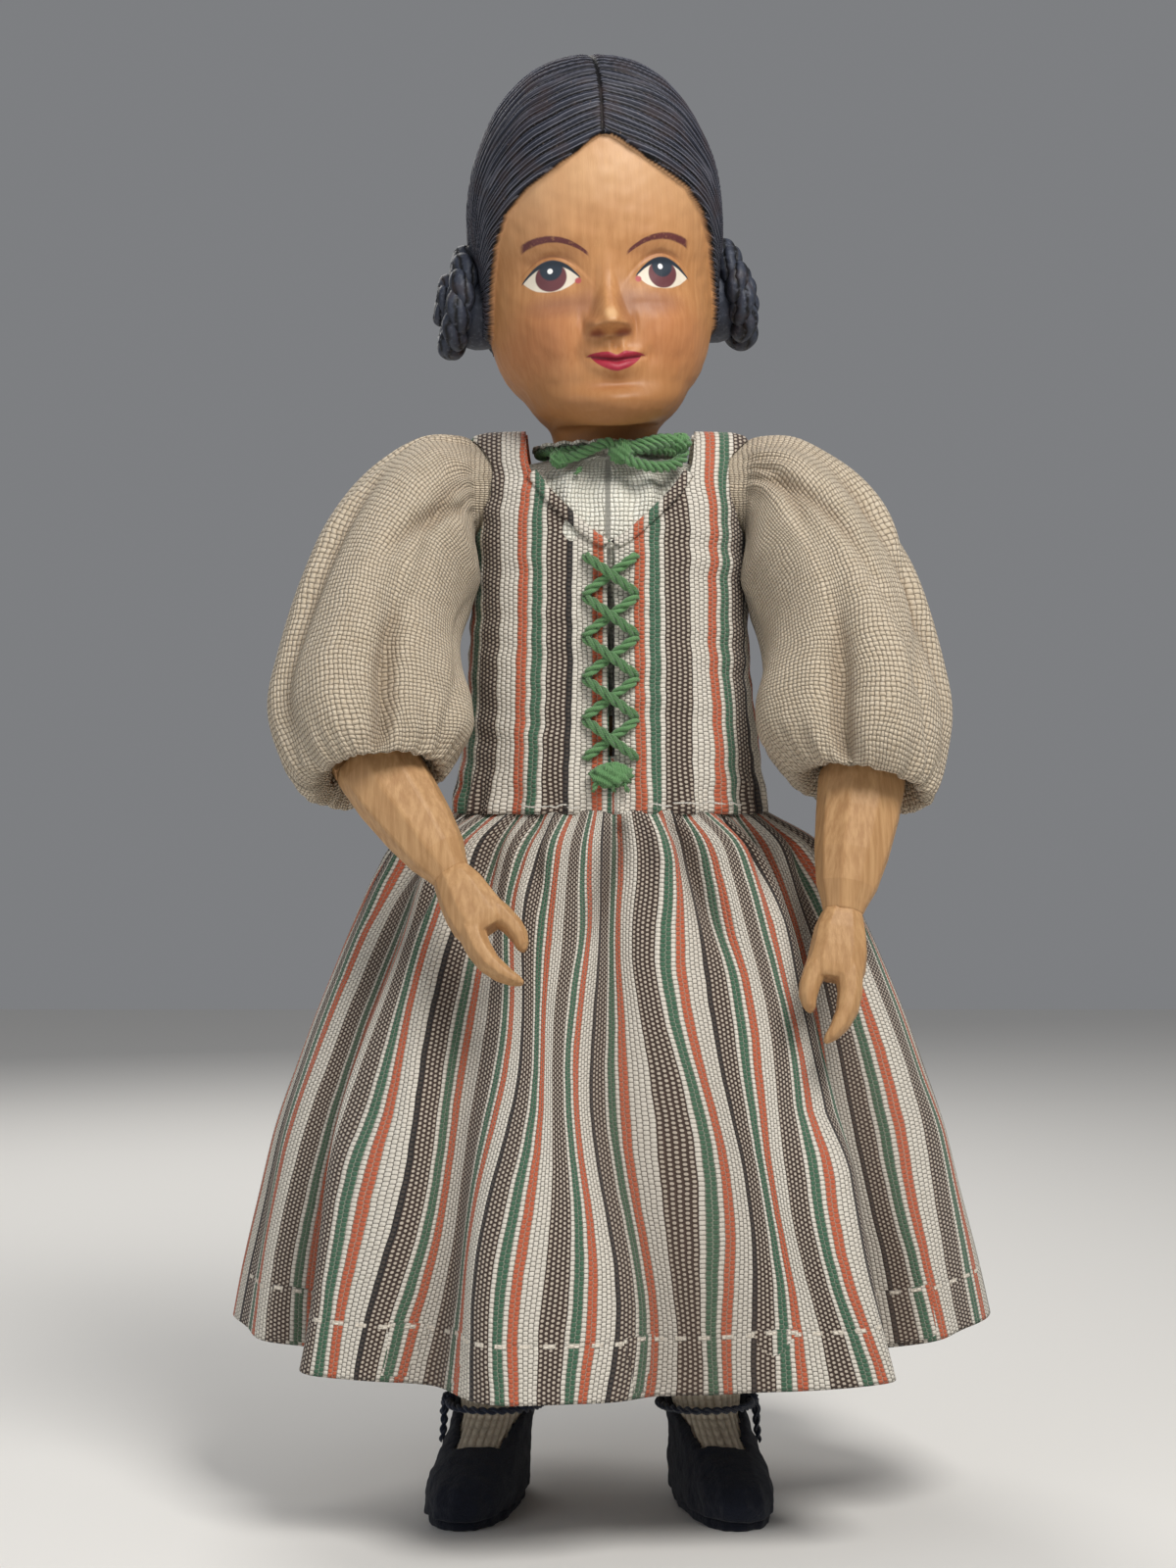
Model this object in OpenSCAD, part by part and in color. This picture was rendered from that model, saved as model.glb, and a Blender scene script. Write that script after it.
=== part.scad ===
// Peg-jointed wooden doll in a striped dress, standing, facing -Y.
// The origin is on the floor under the middle of the figure.

/* [Head] */
// Height of the head from chin to crown
head_h = 61; // [50:1:70]
// Width of the head over the hair
head_w = 40.6; // [34:0.2:46]
// Reach of the face in front of the neck axis
face_reach = 22; // [19:0.5:25]
// Reach of the back of the hair behind the neck axis
nape_reach = 22; // [19:0.5:25]
// How far the nose stands out of the face
nose_h = 3.6; // [2.5:0.1:4.5]
// Across one coiled bun of braids
bun_d = 19.4; // [14:0.5:20]
// Thickness of the braid in a bun
braid_d = 6.6; // [5:0.2:7]
// How far the middle of a bun lies outside the head's side
bun_out = 1.2; // [0:0.1:2]
// Tilt of a bun, 90 is upright
bun_tilt = 77; // [60:1:90]
// Turn of the head to the doll's left
head_turn = 6; // [0:1:12]
// Lean of the head to the doll's right
head_lean = 2.8; // [0:0.2:4]

/* [Neck] */
// Across the neck
neck_d = 18.6; // [16:0.2:20]
// Height of the chin over the torso's top
chin_rise = 4.9; // [4.6:0.1:6]
// Neck dowel
neck_dowel_d = 6; // [5:0.5:7]
// Length of the dowel in the head, and in the torso
neck_dowel_half = 12; // [10:0.5:14]

/* [Torso] */
// Width of the wooden torso at the shoulders
torso_w = 39; // [37:0.2:40]
// Depth of the wooden torso at the chest
torso_d = 23; // [20:0.2:24]
// Height of the torso from its flat bottom to its top
torso_h = 58.5; // [56:0.5:60]
// Height of the shoulder dowel below the torso's top
shoulder_drop = 4.1; // [4:0.1:5]
// Dowels through the shoulders and the hips
dowel_d = 5; // [4:0.2:6]
// Thickness of the hip block between the legs
hip_block_w = 12; // [10:0.5:13]

/* [Arms] */
// Straight down from the shoulder axis to the elbow pin
upper_arm_drop = 40.4; // [38:0.2:43]
// How far the elbow stands outside the shoulder disc's middle
elbow_out = 16; // [14:0.2:16.6]
// Across the shoulder disc
shoulder_disc_d = 15.2; // [14:0.2:16]
// Thickness of the shoulder disc
shoulder_disc_t = 9; // [8:0.2:10]
// Width of the forearm at its flat end
forearm_w = 13.2; // [12:0.2:14]
// Depth of the forearm at its flat end
forearm_t = 11.6; // [10.6:0.2:12.4]
// From the elbow's flat end to the wrist cut
forearm_len = 23.5; // [20:0.5:27]
// Swing of the right arm in front of the body
swing_right = 24; // [22:1:30]
// Swing of the left arm in front of the body
swing_left = 20; // [22:1:30]
// Bend of the right elbow
bend_right = 54.4; // [50:1:62]
// Bend of the left elbow
bend_left = 31.5; // [24:1:40]

/* [Hands] */
// From the wrist cut down to where the thumb and the fingers part
palm_len = 9.8; // [7:0.1:14]
// From there to the fingertips
finger_len = 10.3; // [6:0.1:15]
// From there to the thumb's tip
thumb_len = 6.1; // [3:0.1:10]
// Across the palm
hand_w = 9.2; // [6:0.1:14]
// Thickness of the palm
palm_t = 6.8; // [4:0.1:10]

/* [Legs] */
// From the hip dowel down to the knee pin
thigh_len = 46; // [43:0.5:48]
// From the knee pin down to the floor
shin_len = 52; // [49:0.5:55]
// Across the top of the thigh
thigh_d = 14.6; // [13.4:0.2:15]
// Across the knee
knee_d = 12.4; // [11.6:0.2:13.2]
// Across the calf
calf_d = 11.2; // [10.4:0.2:12]
// Across the ankle
ankle_d = 8; // [7.4:0.2:8.4]
// How far the right ankle stands outside the hip
splay_right = 7.5; // [5:0.5:9]
// How far the left ankle stands outside the hip
splay_left = 4.5; // [3:0.5:7]
// Turn of the toes to the outside
toe_out = 11; // [6:1:16]
// Pins of the elbows and knees
pin_d = 2.8; // [2.4:0.1:3.2]

/* [Shoes and socks] */
// Length of a felt shoe
shoe_len = 33; // [30:0.5:36]
// Width of a felt shoe
shoe_w = 14.6; // [13.8:0.2:15.6]
// Height of a felt shoe at the ankle
shoe_h = 16.5; // [15:0.5:18]
// Thickness of the felt
felt_t = 1.1; // [0.9:0.1:1.3]
// Thickness of the sole
sole_t = 1.6; // [1.2:0.1:2]
// Height of a sock's top edge over the floor
sock_top = 27; // [25:0.5:29]
// Thickness of a knitted sock
sock_t = 0.9; // [0.7:0.1:1.1]
// Cord tied round the ankle
ankle_cord_d = 1.3; // [1.1:0.1:1.5]

/* [Blouse] */
// Thickness of the linen
linen_t = 0.6; // [0.5:0.1:0.8]
// Length of the blouse below the torso's top
blouse_len = 40; // [36:1:46]
// Across the fullest part of a sleeve
sleeve_d = 32; // [28:0.5:34]
// Across the sleeve where it is gathered at the shoulder
sleeve_head_d = 19; // [18:0.5:20]
// How far the sleeve bags out below the elbow
sleeve_bag = 9; // [7:0.5:10]

/* [Dress] */
// Thickness of the striped cloth
cloth_t = 0.8; // [0.7:0.1:0.9]
// Width of the bodice at the chest
bodice_w = 44.6; // [44:0.2:46]
// Depth of the bodice at the chest
bodice_d = 29; // [28:0.2:31]
// Width of the bodice at the waist
waist_w = 50; // [47:0.5:53]
// Depth of the bodice at the waist
waist_d = 31; // [29:0.5:34]
// Length of the bodice from the shoulder's top to the waist seam
bodice_len = 60.4; // [58:0.2:62]
// Depth of the neckline below the torso's top
neckline_drop = 13.5; // [11:0.5:15]
// Half the width of the neckline
neckline_half = 14; // [13.4:0.2:14.6]
// Length of the skirt from the waist seam to the hem
skirt_len = 84.4; // [81:0.2:86]
// Width of the skirt at the hem
hem_w = 115; // [100:1:124]
// Depth of the skirt at the hem
hem_d = 94; // [84:1:104]
// Depth of the skirt's folds at the hem
fold_depth = 5; // [3:0.5:6]

/* [Ties] */
// Lace of the bodice
lace_d = 1.3; // [1.1:0.1:1.5]
// Width between the two rows of lace holes
lace_w = 7.2; // [6:0.2:8]
// Crossings of the lace
lace_crossings = 5; // [4:1:6]
// Cord round the neck
tie_d = 1.9; // [1.6:0.1:2.1]

/* [Hidden] */
// Sides of a smooth round face
$fn = 48;
// Running clearance of a pin or dowel in a bore
run_gap = 0.05;
// Clearance between wooden faces that slide on each other
slide_gap = 0.3;
// Clearance between cloth and what it lies on
cloth_gap = 0.3;
// Overrun of a cut past the face that it opens
over = 1;
// Thickness of a joint's tongue
tongue_t = 4;
// Corners round a whittled limb
whittle_sides = 10;
// Points round each kind of smooth outline
head_points = 52;
torso_points = 28;
skirt_points = 60;
sleeve_points = 28;
bodice_points = 36;
foot_points = 16;
cord_points = 6;

// Strap of the bodice over the torso's top
strap_rise = 5.9;
// Clearance between cloth pieces that touch without moving
touch_gap = 0.1;

// Heights over the floor
knee_z = shin_len;
hip_z = knee_z + thigh_len;
torso_z = hip_z + thigh_d / 2 + slide_gap;
top_z = torso_z + torso_h;
shoulder_z = top_z - shoulder_drop;
waist_z = top_z + strap_rise - bodice_len;
chin_z = top_z + chin_rise;
hem_z = waist_z - skirt_len;
elbow_z = shoulder_z - upper_arm_drop;

// Middle of the shoulder disc, out from the doll's middle
disc_x = torso_w / 2 + slide_gap + shoulder_disc_t / 2;
elbow_x = disc_x + elbow_out;
// Middle of a leg's top, out from the doll's middle
thigh_t = 8.6;
leg_x = hip_block_w / 2 + slide_gap + thigh_t / 2;
// Reach of a joint's tongue and fork round its pin
elbow_seat = forearm_w / 2 + slide_gap;
knee_seat = knee_d / 2 + slide_gap;
// Lean of the upper arm away from the body
arm_lean = atan(elbow_out / upper_arm_drop);
// Half width that the sleeves keep clear of
side_x = bodice_w / 2 + cloth_gap;

// A smooth curve through a table of [key, value], flat past its ends
function curve(t, table, i = 0) =
    t <= table[0][0] ? table[0][1] :
    i >= len(table) - 1 ? table[len(table) - 1][1] :
    t > table[i + 1][0] ? curve(t, table, i + 1) :
    let (
        a = table[i], b = table[i + 1],
        before = table[max(i - 1, 0)], after = table[min(i + 2, len(table) - 1)],
        h = b[0] - a[0], u = (t - a[0]) / h,
        slope_a = (b[1] - before[1]) / (b[0] - before[0]) * h,
        slope_b = (after[1] - a[1]) / (after[0] - a[0]) * h
    )
    (2 * pow(u, 3) - 3 * pow(u, 2) + 1) * a[1] + (pow(u, 3) - 2 * pow(u, 2) + u) * slope_a
    + (3 * pow(u, 2) - 2 * pow(u, 3)) * b[1] + (pow(u, 3) - pow(u, 2)) * slope_b;

function power(v, p) = sign(v) * pow(abs(v), p);

// A bump of height 1 at u = 0 that fades out at a few times its width
function bump(u, width) = exp(-pow(u / width, 2));

// One point of a round outline: half width, reach to the front and to the back, and squareness
function oval(angle, half_w, front, back, square) =
    let (p = 2 / square)
    [half_w * power(sin(angle), p),
     (back - front) / 2 - (front + back) / 2 * power(cos(angle), p)];

function oval_ring(points, z, half_w, front, back, square) = [
    for (i = [0:points - 1])
        let (xy = oval(360 * i / points, half_w, front, back, square))
        [xy.x, xy.y, z]
];

// Faces between rings that turn the same way and rise: outer true faces out, false faces in
function side_faces(rings, points, first, outer) = [
    for (k = [0:rings - 2], i = [0:points - 1], half = [0, 1])
        let (
            j = (i + 1) % points,
            a = first + k * points + i, b = first + k * points + j,
            d = a + points, c = b + points
        )
        half == 0 ? (outer ? [a, d, c] : [a, c, d]) : (outer ? [a, c, b] : [a, b, c])
];

function middle(ring) = [for (k = [0:2]) [for (p = ring) p[k]] * [for (p = ring) 1] / len(ring)];

// A closed solid through rings of points
module loft(rings) {
    n = len(rings[0]);
    m = len(rings);
    polyhedron(
        points = [for (r = rings, p = r) p, middle(rings[0]), middle(rings[m - 1])],
        faces = concat(
            side_faces(m, n, 0, true),
            [for (i = [0:n - 1]) [m * n, i, (i + 1) % n]],
            [for (i = [0:n - 1]) [m * n + 1, (m - 1) * n + (i + 1) % n, (m - 1) * n + i]]
        )
    );
}

// A sheet of cloth between two sets of rings, open at both ends
module cloth_shell(outer, inner) {
    n = len(outer[0]);
    m = len(outer);
    inside = m * n;
    top = (m - 1) * n;
    polyhedron(
        points = [for (set = [outer, inner], r = set, p = r) p],
        faces = concat(
            side_faces(m, n, 0, true),
            side_faces(m, n, inside, false),
            [for (i = [0:n - 1], half = [0, 1])
                let (j = (i + 1) % n)
                half == 0 ? [i, j, inside + j] : [i, inside + j, inside + i]],
            [for (i = [0:n - 1], half = [0, 1])
                let (j = (i + 1) % n)
                half == 0 ? [top + i, inside + top + i, inside + top + j]
                          : [top + i, inside + top + j, top + j]]
        )
    );
}

function unit(v) = v / norm(v);

// Rings of a round cord along a route, square to it, turned from a fixed direction
function cord_rings(route, d, fixed) = [
    for (k = [0:len(route) - 1])
        let (
            along = unit(route[min(k + 1, len(route) - 1)] - route[max(k - 1, 0)]),
            across = unit(cross(fixed, along)),
            up = cross(along, across)
        )
        [for (i = [0:cord_points - 1])
            let (angle = 360 * i / cord_points)
            route[k] + d / 2 * (cos(angle) * across + sin(angle) * up)]
];

module mirror_side(side) {
    if (side < 0) mirror([1, 0, 0]) children();
    else children();
}

// Wooden figure

// The head: profiles as [reach share, height share] from the neck's foot to the crown
front_profile_shares = [
    [0.37, -0.11], [0.37, -0.03], [0.43, 0.02], [0.64, 0.005], [0.79, 0], [0.905, 0.02], [0.955, 0.055],
    [0.965, 0.1], [0.96, 0.15], [0.975, 0.2], [0.98, 0.25], [0.965, 0.3], [0.95, 0.355], [0.955, 0.41],
    [0.98, 0.47], [1, 0.53], [1, 0.6], [0.985, 0.67], [0.95, 0.74], [0.885, 0.81], [0.78, 0.87],
    [0.64, 0.92], [0.46, 0.96], [0.24, 0.987], [0.05, 1]
];
side_profile_shares = [
    [0.4, -0.11], [0.4, -0.03], [0.43, 0.015], [0.5, 0.03], [0.585, 0.052], [0.66, 0.078], [0.74, 0.108],
    [0.815, 0.14], [0.865, 0.18], [0.895, 0.225], [0.915, 0.28], [0.925, 0.335], [0.94, 0.385], [0.96, 0.43],
    [0.985, 0.48], [1, 0.535], [1, 0.59], [0.985, 0.65], [0.945, 0.71], [0.88, 0.77], [0.785, 0.835],
    [0.66, 0.895], [0.48, 0.95], [0.25, 0.985], [0.05, 1]
];
back_profile_shares = [
    [0.37, -0.11], [0.37, -0.03], [0.4, 0.06], [0.43, 0.11], [0.5, 0.14], [0.6, 0.165], [0.69, 0.195],
    [0.77, 0.23], [0.84, 0.27], [0.895, 0.315], [0.935, 0.36], [0.965, 0.405], [0.985, 0.45], [1, 0.495],
    [1, 0.545], [0.995, 0.595], [0.975, 0.645], [0.94, 0.7], [0.89, 0.755], [0.82, 0.81], [0.72, 0.865],
    [0.59, 0.915], [0.42, 0.957], [0.22, 0.986], [0.05, 1]
];
// Places of the face as shares of the head's height over the chin
nose_tip_share = 0.236;
nose_root_share = 0.42;
mouth_share = 0.155;
eye_share = 0.371;
brow_share = 0.46;
// Half the space between the eyes, as a share of the head's width
eye_out_share = 0.219;
// Hairline: [share of the half width, share of the head's height]
hairline_shares = [
    [0, 0.718], [0.31, 0.66], [0.626, 0.603], [0.773, 0.559], [0.847, 0.495], [0.887, 0.393], [0.916, 0.26]
];
// Where the face's skin ends under the chin, and the middle of the combed ball of hair
skin_foot_share = 0.09;
ball_share = 0.54;
// Height of a bun's middle over the chin, and how far it lies behind the neck's axis
bun_height_share = 0.37;
bun_back_share = 0.12;
// How far the hair stands over the skin
hair_step = 1.15;
// Height of the main waves of combed hair, and how many there would be all round a bun
comb_depth = 0.5;
comb_waves = 12;

// Points of the head's outline move this many degrees closer together at the face
face_fineness = 25;

// What the carver leaves standing on the face: nose, lips, brows, cheeks and eye hollows
function face_relief(x, up) =
    let (
        u = x / head_w, side = abs(u) - eye_out_share,
        ridge = up > nose_tip_share
            ? bump(up - nose_tip_share, (nose_root_share - nose_tip_share) * 0.62)
            : bump(up - nose_tip_share, 0.026),
        nose_spread = 0.038 + 0.045 * bump(up - nose_tip_share, 0.04)
    )
    nose_h * ridge * bump(u, nose_spread)
    + nose_h * 0.24 * bump(u, 0.1) * bump(up - mouth_share, 0.035)
    + nose_h * 0.24 * bump(u, 0.11) * bump(up - mouth_share / 3, 0.045)
    - nose_h * 0.3 * bump(side, 0.1) * bump(up - eye_share, 0.05)
    + nose_h * 0.1 * bump(side, 0.12) * bump(up - brow_share, 0.035)
    + nose_h * 0.2 * bump(side, 0.11) * bump(up - mouth_share - 0.065, 0.08);

// How far a point of the head is inside the hair: 0 on the face, 1 in the hair
function hair_share(x, y, up) =
    let (u = abs(x) / (head_w / 2), front = y < 0 && u < 0.916 && up < lookup(u, hairline_shares))
    front || up < skin_foot_share ? 0 : 1;

// Waves of the hair that is combed from the parting down to the buns
function comb_wave(p) =
    let (
        ball = [0, 0, head_h * ball_share],
        to_bun = unit([head_w / 2, nape_reach * bun_back_share, head_h * bun_height_share] - ball),
        first = unit(cross(to_bun, [0, 0, 1])), second = cross(to_bun, first),
        v = unit([abs(p.x), p.y, p.z] - ball)
    )
    comb_depth * cos(comb_waves * atan2(v * second, v * first));

function head_point(k, angle) =
    let (
        f = front_profile_shares[k], s = side_profile_shares[k], b = back_profile_shares[k],
        end = cos(angle) > 0 ? f : b,
        weight = pow(cos(angle), 2),
        up = end[1] * weight + s[1] * (1 - weight),
        xy = oval(angle, s[0] * head_w / 2, f[0] * face_reach, b[0] * nape_reach, 2.15),
        hair = hair_share(xy.x, xy.y, up),
        comb = k < len(front_profile_shares) - 2 ? comb_wave([xy.x, xy.y, up * head_h]) : 0,
        shrink = up > skin_foot_share ? hair_step * (hair - 1) + hair * comb : 0,
        out = unit([xy.x, xy.y]),
        bulge = cos(angle) > 0.2 && hair == 0 ? face_relief(xy.x, up) : 0
    )
    [xy.x + out.x * shrink, xy.y + out.y * shrink - bulge, up * head_h];

module head() {
    levels = len(front_profile_shares);
    color("burlywood") difference() {
        // The head leans from its seat on the neck dowel
        translate([0, 0, top_z - neck_dowel_half]) rotate([0, -head_lean, head_turn])
            translate([0, 0, chin_z - top_z + neck_dowel_half]) union() {
                loft([for (k = [0:levels - 1]) [
                    for (i = [0:head_points - 1])
                        head_point(k, 360 * i / head_points - face_fineness * sin(360 * i / head_points))
                ]]);
                for (side = [-1, 1]) mirror_side(side) bun();
            }
        translate([0, 0, top_z - head_h]) cylinder(d = 2 * head_w, h = head_h + slide_gap);
        translate([0, 0, top_z - over]) cylinder(d = neck_dowel_d + 2 * run_gap, h = neck_dowel_half + over);
    }
}

// A braid coiled flat against the side of the head: turns of a lumpy ring round a button
module bun() {
    turn_r = (bun_d - braid_d) / 2;
    lumps = 9;
    steps = lumps * 3;
    side_points = 8;
    rings = [for (k = [0:steps - 1])
        let (turn = 360 * k / steps, fat = braid_d / 2 * (1 + 0.14 * cos(lumps * turn)))
        [for (i = [0:side_points - 1])
            let (a = 360 * i / side_points, r = turn_r + fat * cos(a))
            [r * cos(turn), r * sin(turn), fat * sin(a)]]];
    translate([head_w / 2 + bun_out, nape_reach * bun_back_share, head_h * bun_height_share])
        rotate([0, bun_tilt, 0]) union() {
            polyhedron(points = [for (ring = rings, p = ring) p], faces = [
                for (k = [0:steps - 1], i = [0:side_points - 1], half = [0, 1])
                    let (
                        n = side_points, j = (i + 1) % n, up = (k + 1) % steps,
                        a = k * n + i, b = k * n + j, d = up * n + i, c = up * n + j
                    )
                    half == 0 ? [a, c, d] : [a, b, c]
            ]);
            translate([0, 0, -braid_d / 2]) cylinder(r1 = turn_r * 0.93, r2 = turn_r * 0.48, h = braid_d * 0.97);
        }
}

module neck_dowel() {
    color("tan") translate([0, 0, top_z - neck_dowel_half])
        cylinder(d = neck_dowel_d, h = 2 * neck_dowel_half - slide_gap);
}

// Half width and half depth of the wooden torso, as shares of its size at the shoulders
torso_width_shares = [[0, 0.96], [0.12, 0.98], [0.3, 0.94], [0.5, 0.95], [0.7, 1], [0.94, 1], [0.98, 0.9], [1, 0.56]];
torso_depth_shares = [[0, 0.88], [0.12, 0.96], [0.3, 1], [0.5, 0.98], [0.7, 1], [0.86, 0.92], [0.94, 0.8], [1, 0.64]];

module torso() {
    levels = [0, 0.12, 0.3, 0.5, 0.7, 0.86, 0.94, 0.98, 1];
    block_d = thigh_d - 2 * slide_gap;
    color("burlywood") difference() {
        union() {
            loft([for (t = levels) oval_ring(
                torso_points, torso_z + t * torso_h,
                torso_w / 2 * curve(t, torso_width_shares),
                torso_d / 2 * curve(t, torso_depth_shares),
                torso_d / 2 * curve(t, torso_depth_shares), 2.5
            )]);
            translate([-hip_block_w / 2, 0, hip_z]) rotate([0, 90, 0]) cylinder(d = block_d, h = hip_block_w);
            translate([-hip_block_w / 2, -block_d / 2, hip_z])
                cube([hip_block_w, block_d, torso_z - hip_z + over]);
        }
        translate([0, 0, top_z - neck_dowel_half]) cylinder(d = neck_dowel_d, h = neck_dowel_half + over);
        translate([-hip_block_w / 2 - over, 0, hip_z]) rotate([0, 90, 0])
            cylinder(d = dowel_d, h = hip_block_w + 2 * over);
        for (side = [-1, 1]) mirror_side(side)
            translate([peg_start, 0, shoulder_z]) rotate([0, 90, 0]) cylinder(d = dowel_d, h = torso_w);
    }
}

// How far each dowel reaches into the arm or leg that turns on it
arm_bore = 6;
// Where a shoulder peg starts beside the neck dowel
peg_start = neck_dowel_d / 2 + 2 * over;

module shoulder_peg(side) {
    color("tan") mirror_side(side) translate([peg_start, 0, shoulder_z]) rotate([0, 90, 0])
        cylinder(d = dowel_d, h = torso_w / 2 + arm_bore - peg_start);
}

module hip_dowel() {
    reach = leg_x + thigh_t / 2;
    color("tan") translate([-reach, 0, hip_z]) rotate([0, 90, 0]) cylinder(d = dowel_d, h = 2 * reach);
}

// Rings of a whittled limb between two centres, with a width and depth at each height share
function limb_rings(low, high, shares) = [
    for (s = shares)
        let (c = low + (high - low) * s[0])
        [for (i = [0:whittle_sides - 1])
            let (angle = 360 * (i + 0.5) / whittle_sides)
            [c.x + s[1] / 2 * sin(angle), c.y - s[2] / 2 * cos(angle), c.z]]
];

// Brings a piece of an arm from straight down to its place in front of the body
module swung(side) {
    swing = side < 0 ? swing_right : swing_left;
    translate([0, 0, shoulder_z]) rotate([-swing, 0, 0]) translate([0, 0, -shoulder_z]) children();
}

// Upper arm of the doll's left side, hanging straight down
module upper_arm(side) {
    fork_w = forearm_w;
    shape = [[0, fork_w, forearm_t], [0.2, fork_w, forearm_t], [0.55, fork_w * 0.84, forearm_t * 0.98],
             [0.8, fork_w * 0.46, forearm_t], [1, fork_w * 0.46, forearm_t]];
    color("burlywood") swung(side) mirror_side(side) difference() {
        union() {
            translate([disc_x - shoulder_disc_t / 2, 0, shoulder_z]) rotate([0, 90, 0])
                cylinder(d = shoulder_disc_d, h = shoulder_disc_t);
            intersection() {
                loft(limb_rings([elbow_x, 0, elbow_z], [disc_x, 0, shoulder_z], shape));
                // The limb keeps clear of the sleeve where that is sewn to the armhole
                translate([side_x + 2 * (cloth_gap + linen_t) + touch_gap, -forearm_w, elbow_z - forearm_w])
                    cube([2 * elbow_out + forearm_w, 2 * forearm_w, upper_arm_drop + 2 * forearm_w]);
            }
            translate([elbow_x, -forearm_t / 2, elbow_z]) rotate([-90, 0, 0])
                cylinder(d = fork_w - 2 * slide_gap, h = forearm_t);
        }
        // Slot of the fork
        translate([elbow_x - fork_w, -tongue_t / 2 - slide_gap / 2, elbow_z - fork_w])
            cube([2 * fork_w, tongue_t + slide_gap, fork_w + elbow_seat + slide_gap]);
        translate([elbow_x, -forearm_t / 2 - over, elbow_z]) rotate([-90, 0, 0])
            cylinder(d = pin_d, h = forearm_t + 2 * over);
        translate([disc_x - shoulder_disc_t / 2 - over, 0, shoulder_z]) rotate([0, 90, 0])
            cylinder(d = dowel_d + 2 * run_gap, h = arm_bore + over);
    }
}

module elbow_pin(side) {
    color("tan") swung(side) mirror_side(side)
        translate([elbow_x, -forearm_t / 2, elbow_z]) rotate([-90, 0, 0]) cylinder(d = pin_d, h = forearm_t);
}

// The forearm's own frame has the elbow pin at its origin, and the hand hangs down.
// Forearm: [share of the length, width share, depth share]
forearm_shape_shares = [
    [0, 0.95, 0.94], [0.04, 1, 1], [0.1, 1.015, 1.017], [0.32, 0.98, 0.99], [0.6, 0.865, 0.9], [0.84, 0.7, 0.76],
    [0.95, 0.53, 0.57], [1, 0.47, 0.5]
];
// Palm: [share of its length, width share, thickness share, middle share of its width]
palm_shape_shares = [
    [-0.06, 0.65, 0.85, 0], [0.06, 0.75, 0.97, 0], [0.27, 0.87, 1.03, 0], [0.56, 0.96, 1, 0.02], [0.86, 1, 0.91, 0.01],
    [0.98, 0.95, 0.82, 0], [1.05, 0.78, 0.68, 0]
];
// Fingers and thumb, below the crotch: [share of the length, middle share, width share, thickness share]
finger_shape_shares = [
    [-0.44, 0.1, 0.54, 0.76], [-0.1, 0.23, 0.5, 0.82], [0.21, 0.3, 0.42, 0.78], [0.49, 0.29, 0.38, 0.72],
    [0.74, 0.21, 0.33, 0.62], [0.91, 0.1, 0.24, 0.46], [1, 0.03, 0.11, 0.24]
];
thumb_shape_shares = [
    [-0.74, -0.13, 0.5, 0.74], [-0.16, -0.28, 0.43, 0.76], [0.3, -0.36, 0.36, 0.68], [0.62, -0.37, 0.3, 0.59],
    [0.87, -0.33, 0.23, 0.46], [1, -0.3, 0.1, 0.22]
];

function flat_ring(z, w, t, shift) = [
    for (i = [0:whittle_sides - 1])
        let (xy = oval(360 * (i + 0.5) / whittle_sides, w / 2, t / 2, t / 2, 2.2))
        [xy.x + shift, xy.y, z]
];

function backwards(list) = [for (i = [len(list) - 1:-1:0]) list[i]];

module forearm_body() {
    loft([for (f = backwards(forearm_shape_shares))
        flat_ring(-elbow_seat - f[0] * forearm_len, forearm_w * f[1], forearm_t * f[2], 0)]);
}

module hand() {
    wrist_z = -elbow_seat - forearm_len;
    crotch_z = wrist_z - palm_len;
    loft([for (h = backwards(palm_shape_shares))
        flat_ring(wrist_z - h[0] * palm_len, hand_w * h[1], palm_t * h[2], hand_w * h[3])]);
    loft([for (h = backwards(finger_shape_shares))
        flat_ring(crotch_z - h[0] * finger_len, hand_w * h[2], palm_t * h[3], hand_w * h[1])]);
    loft([for (h = backwards(thumb_shape_shares))
        flat_ring(crotch_z - h[0] * thumb_len, hand_w * h[2], palm_t * h[3], hand_w * h[1])]);
}

// Forearm and hand in one piece, with the tongue that turns in the upper arm's fork
module forearm(side) {
    tongue_d = forearm_w - 2 * slide_gap;
    color("burlywood") swung(side) mirror_side(side)
        translate([elbow_x, 0, elbow_z]) rotate([0, bent(side), 0]) difference() {
            union() {
                forearm_body();
                hand();
                translate([0, -tongue_t / 2, 0]) rotate([-90, 0, 0]) cylinder(d = tongue_d, h = tongue_t);
                translate([-tongue_d / 2, -tongue_t / 2, -elbow_seat - over])
                    cube([tongue_d, tongue_t, elbow_seat + over]);
            }
            translate([0, -tongue_t / 2 - over, 0]) rotate([-90, 0, 0])
                cylinder(d = pin_d + 2 * run_gap, h = tongue_t + 2 * over);
        }
}

// Turn of the forearm from straight down, towards the body
function bent(side) = (side < 0 ? bend_right : bend_left) - arm_lean;

function leg_splay(side) = side < 0 ? splay_right : splay_left;
// Middle of a leg at a height over the floor
function leg_at(side, z) = leg_x + leg_splay(side) * (hip_z - z) / (hip_z - shoe_h);

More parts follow.
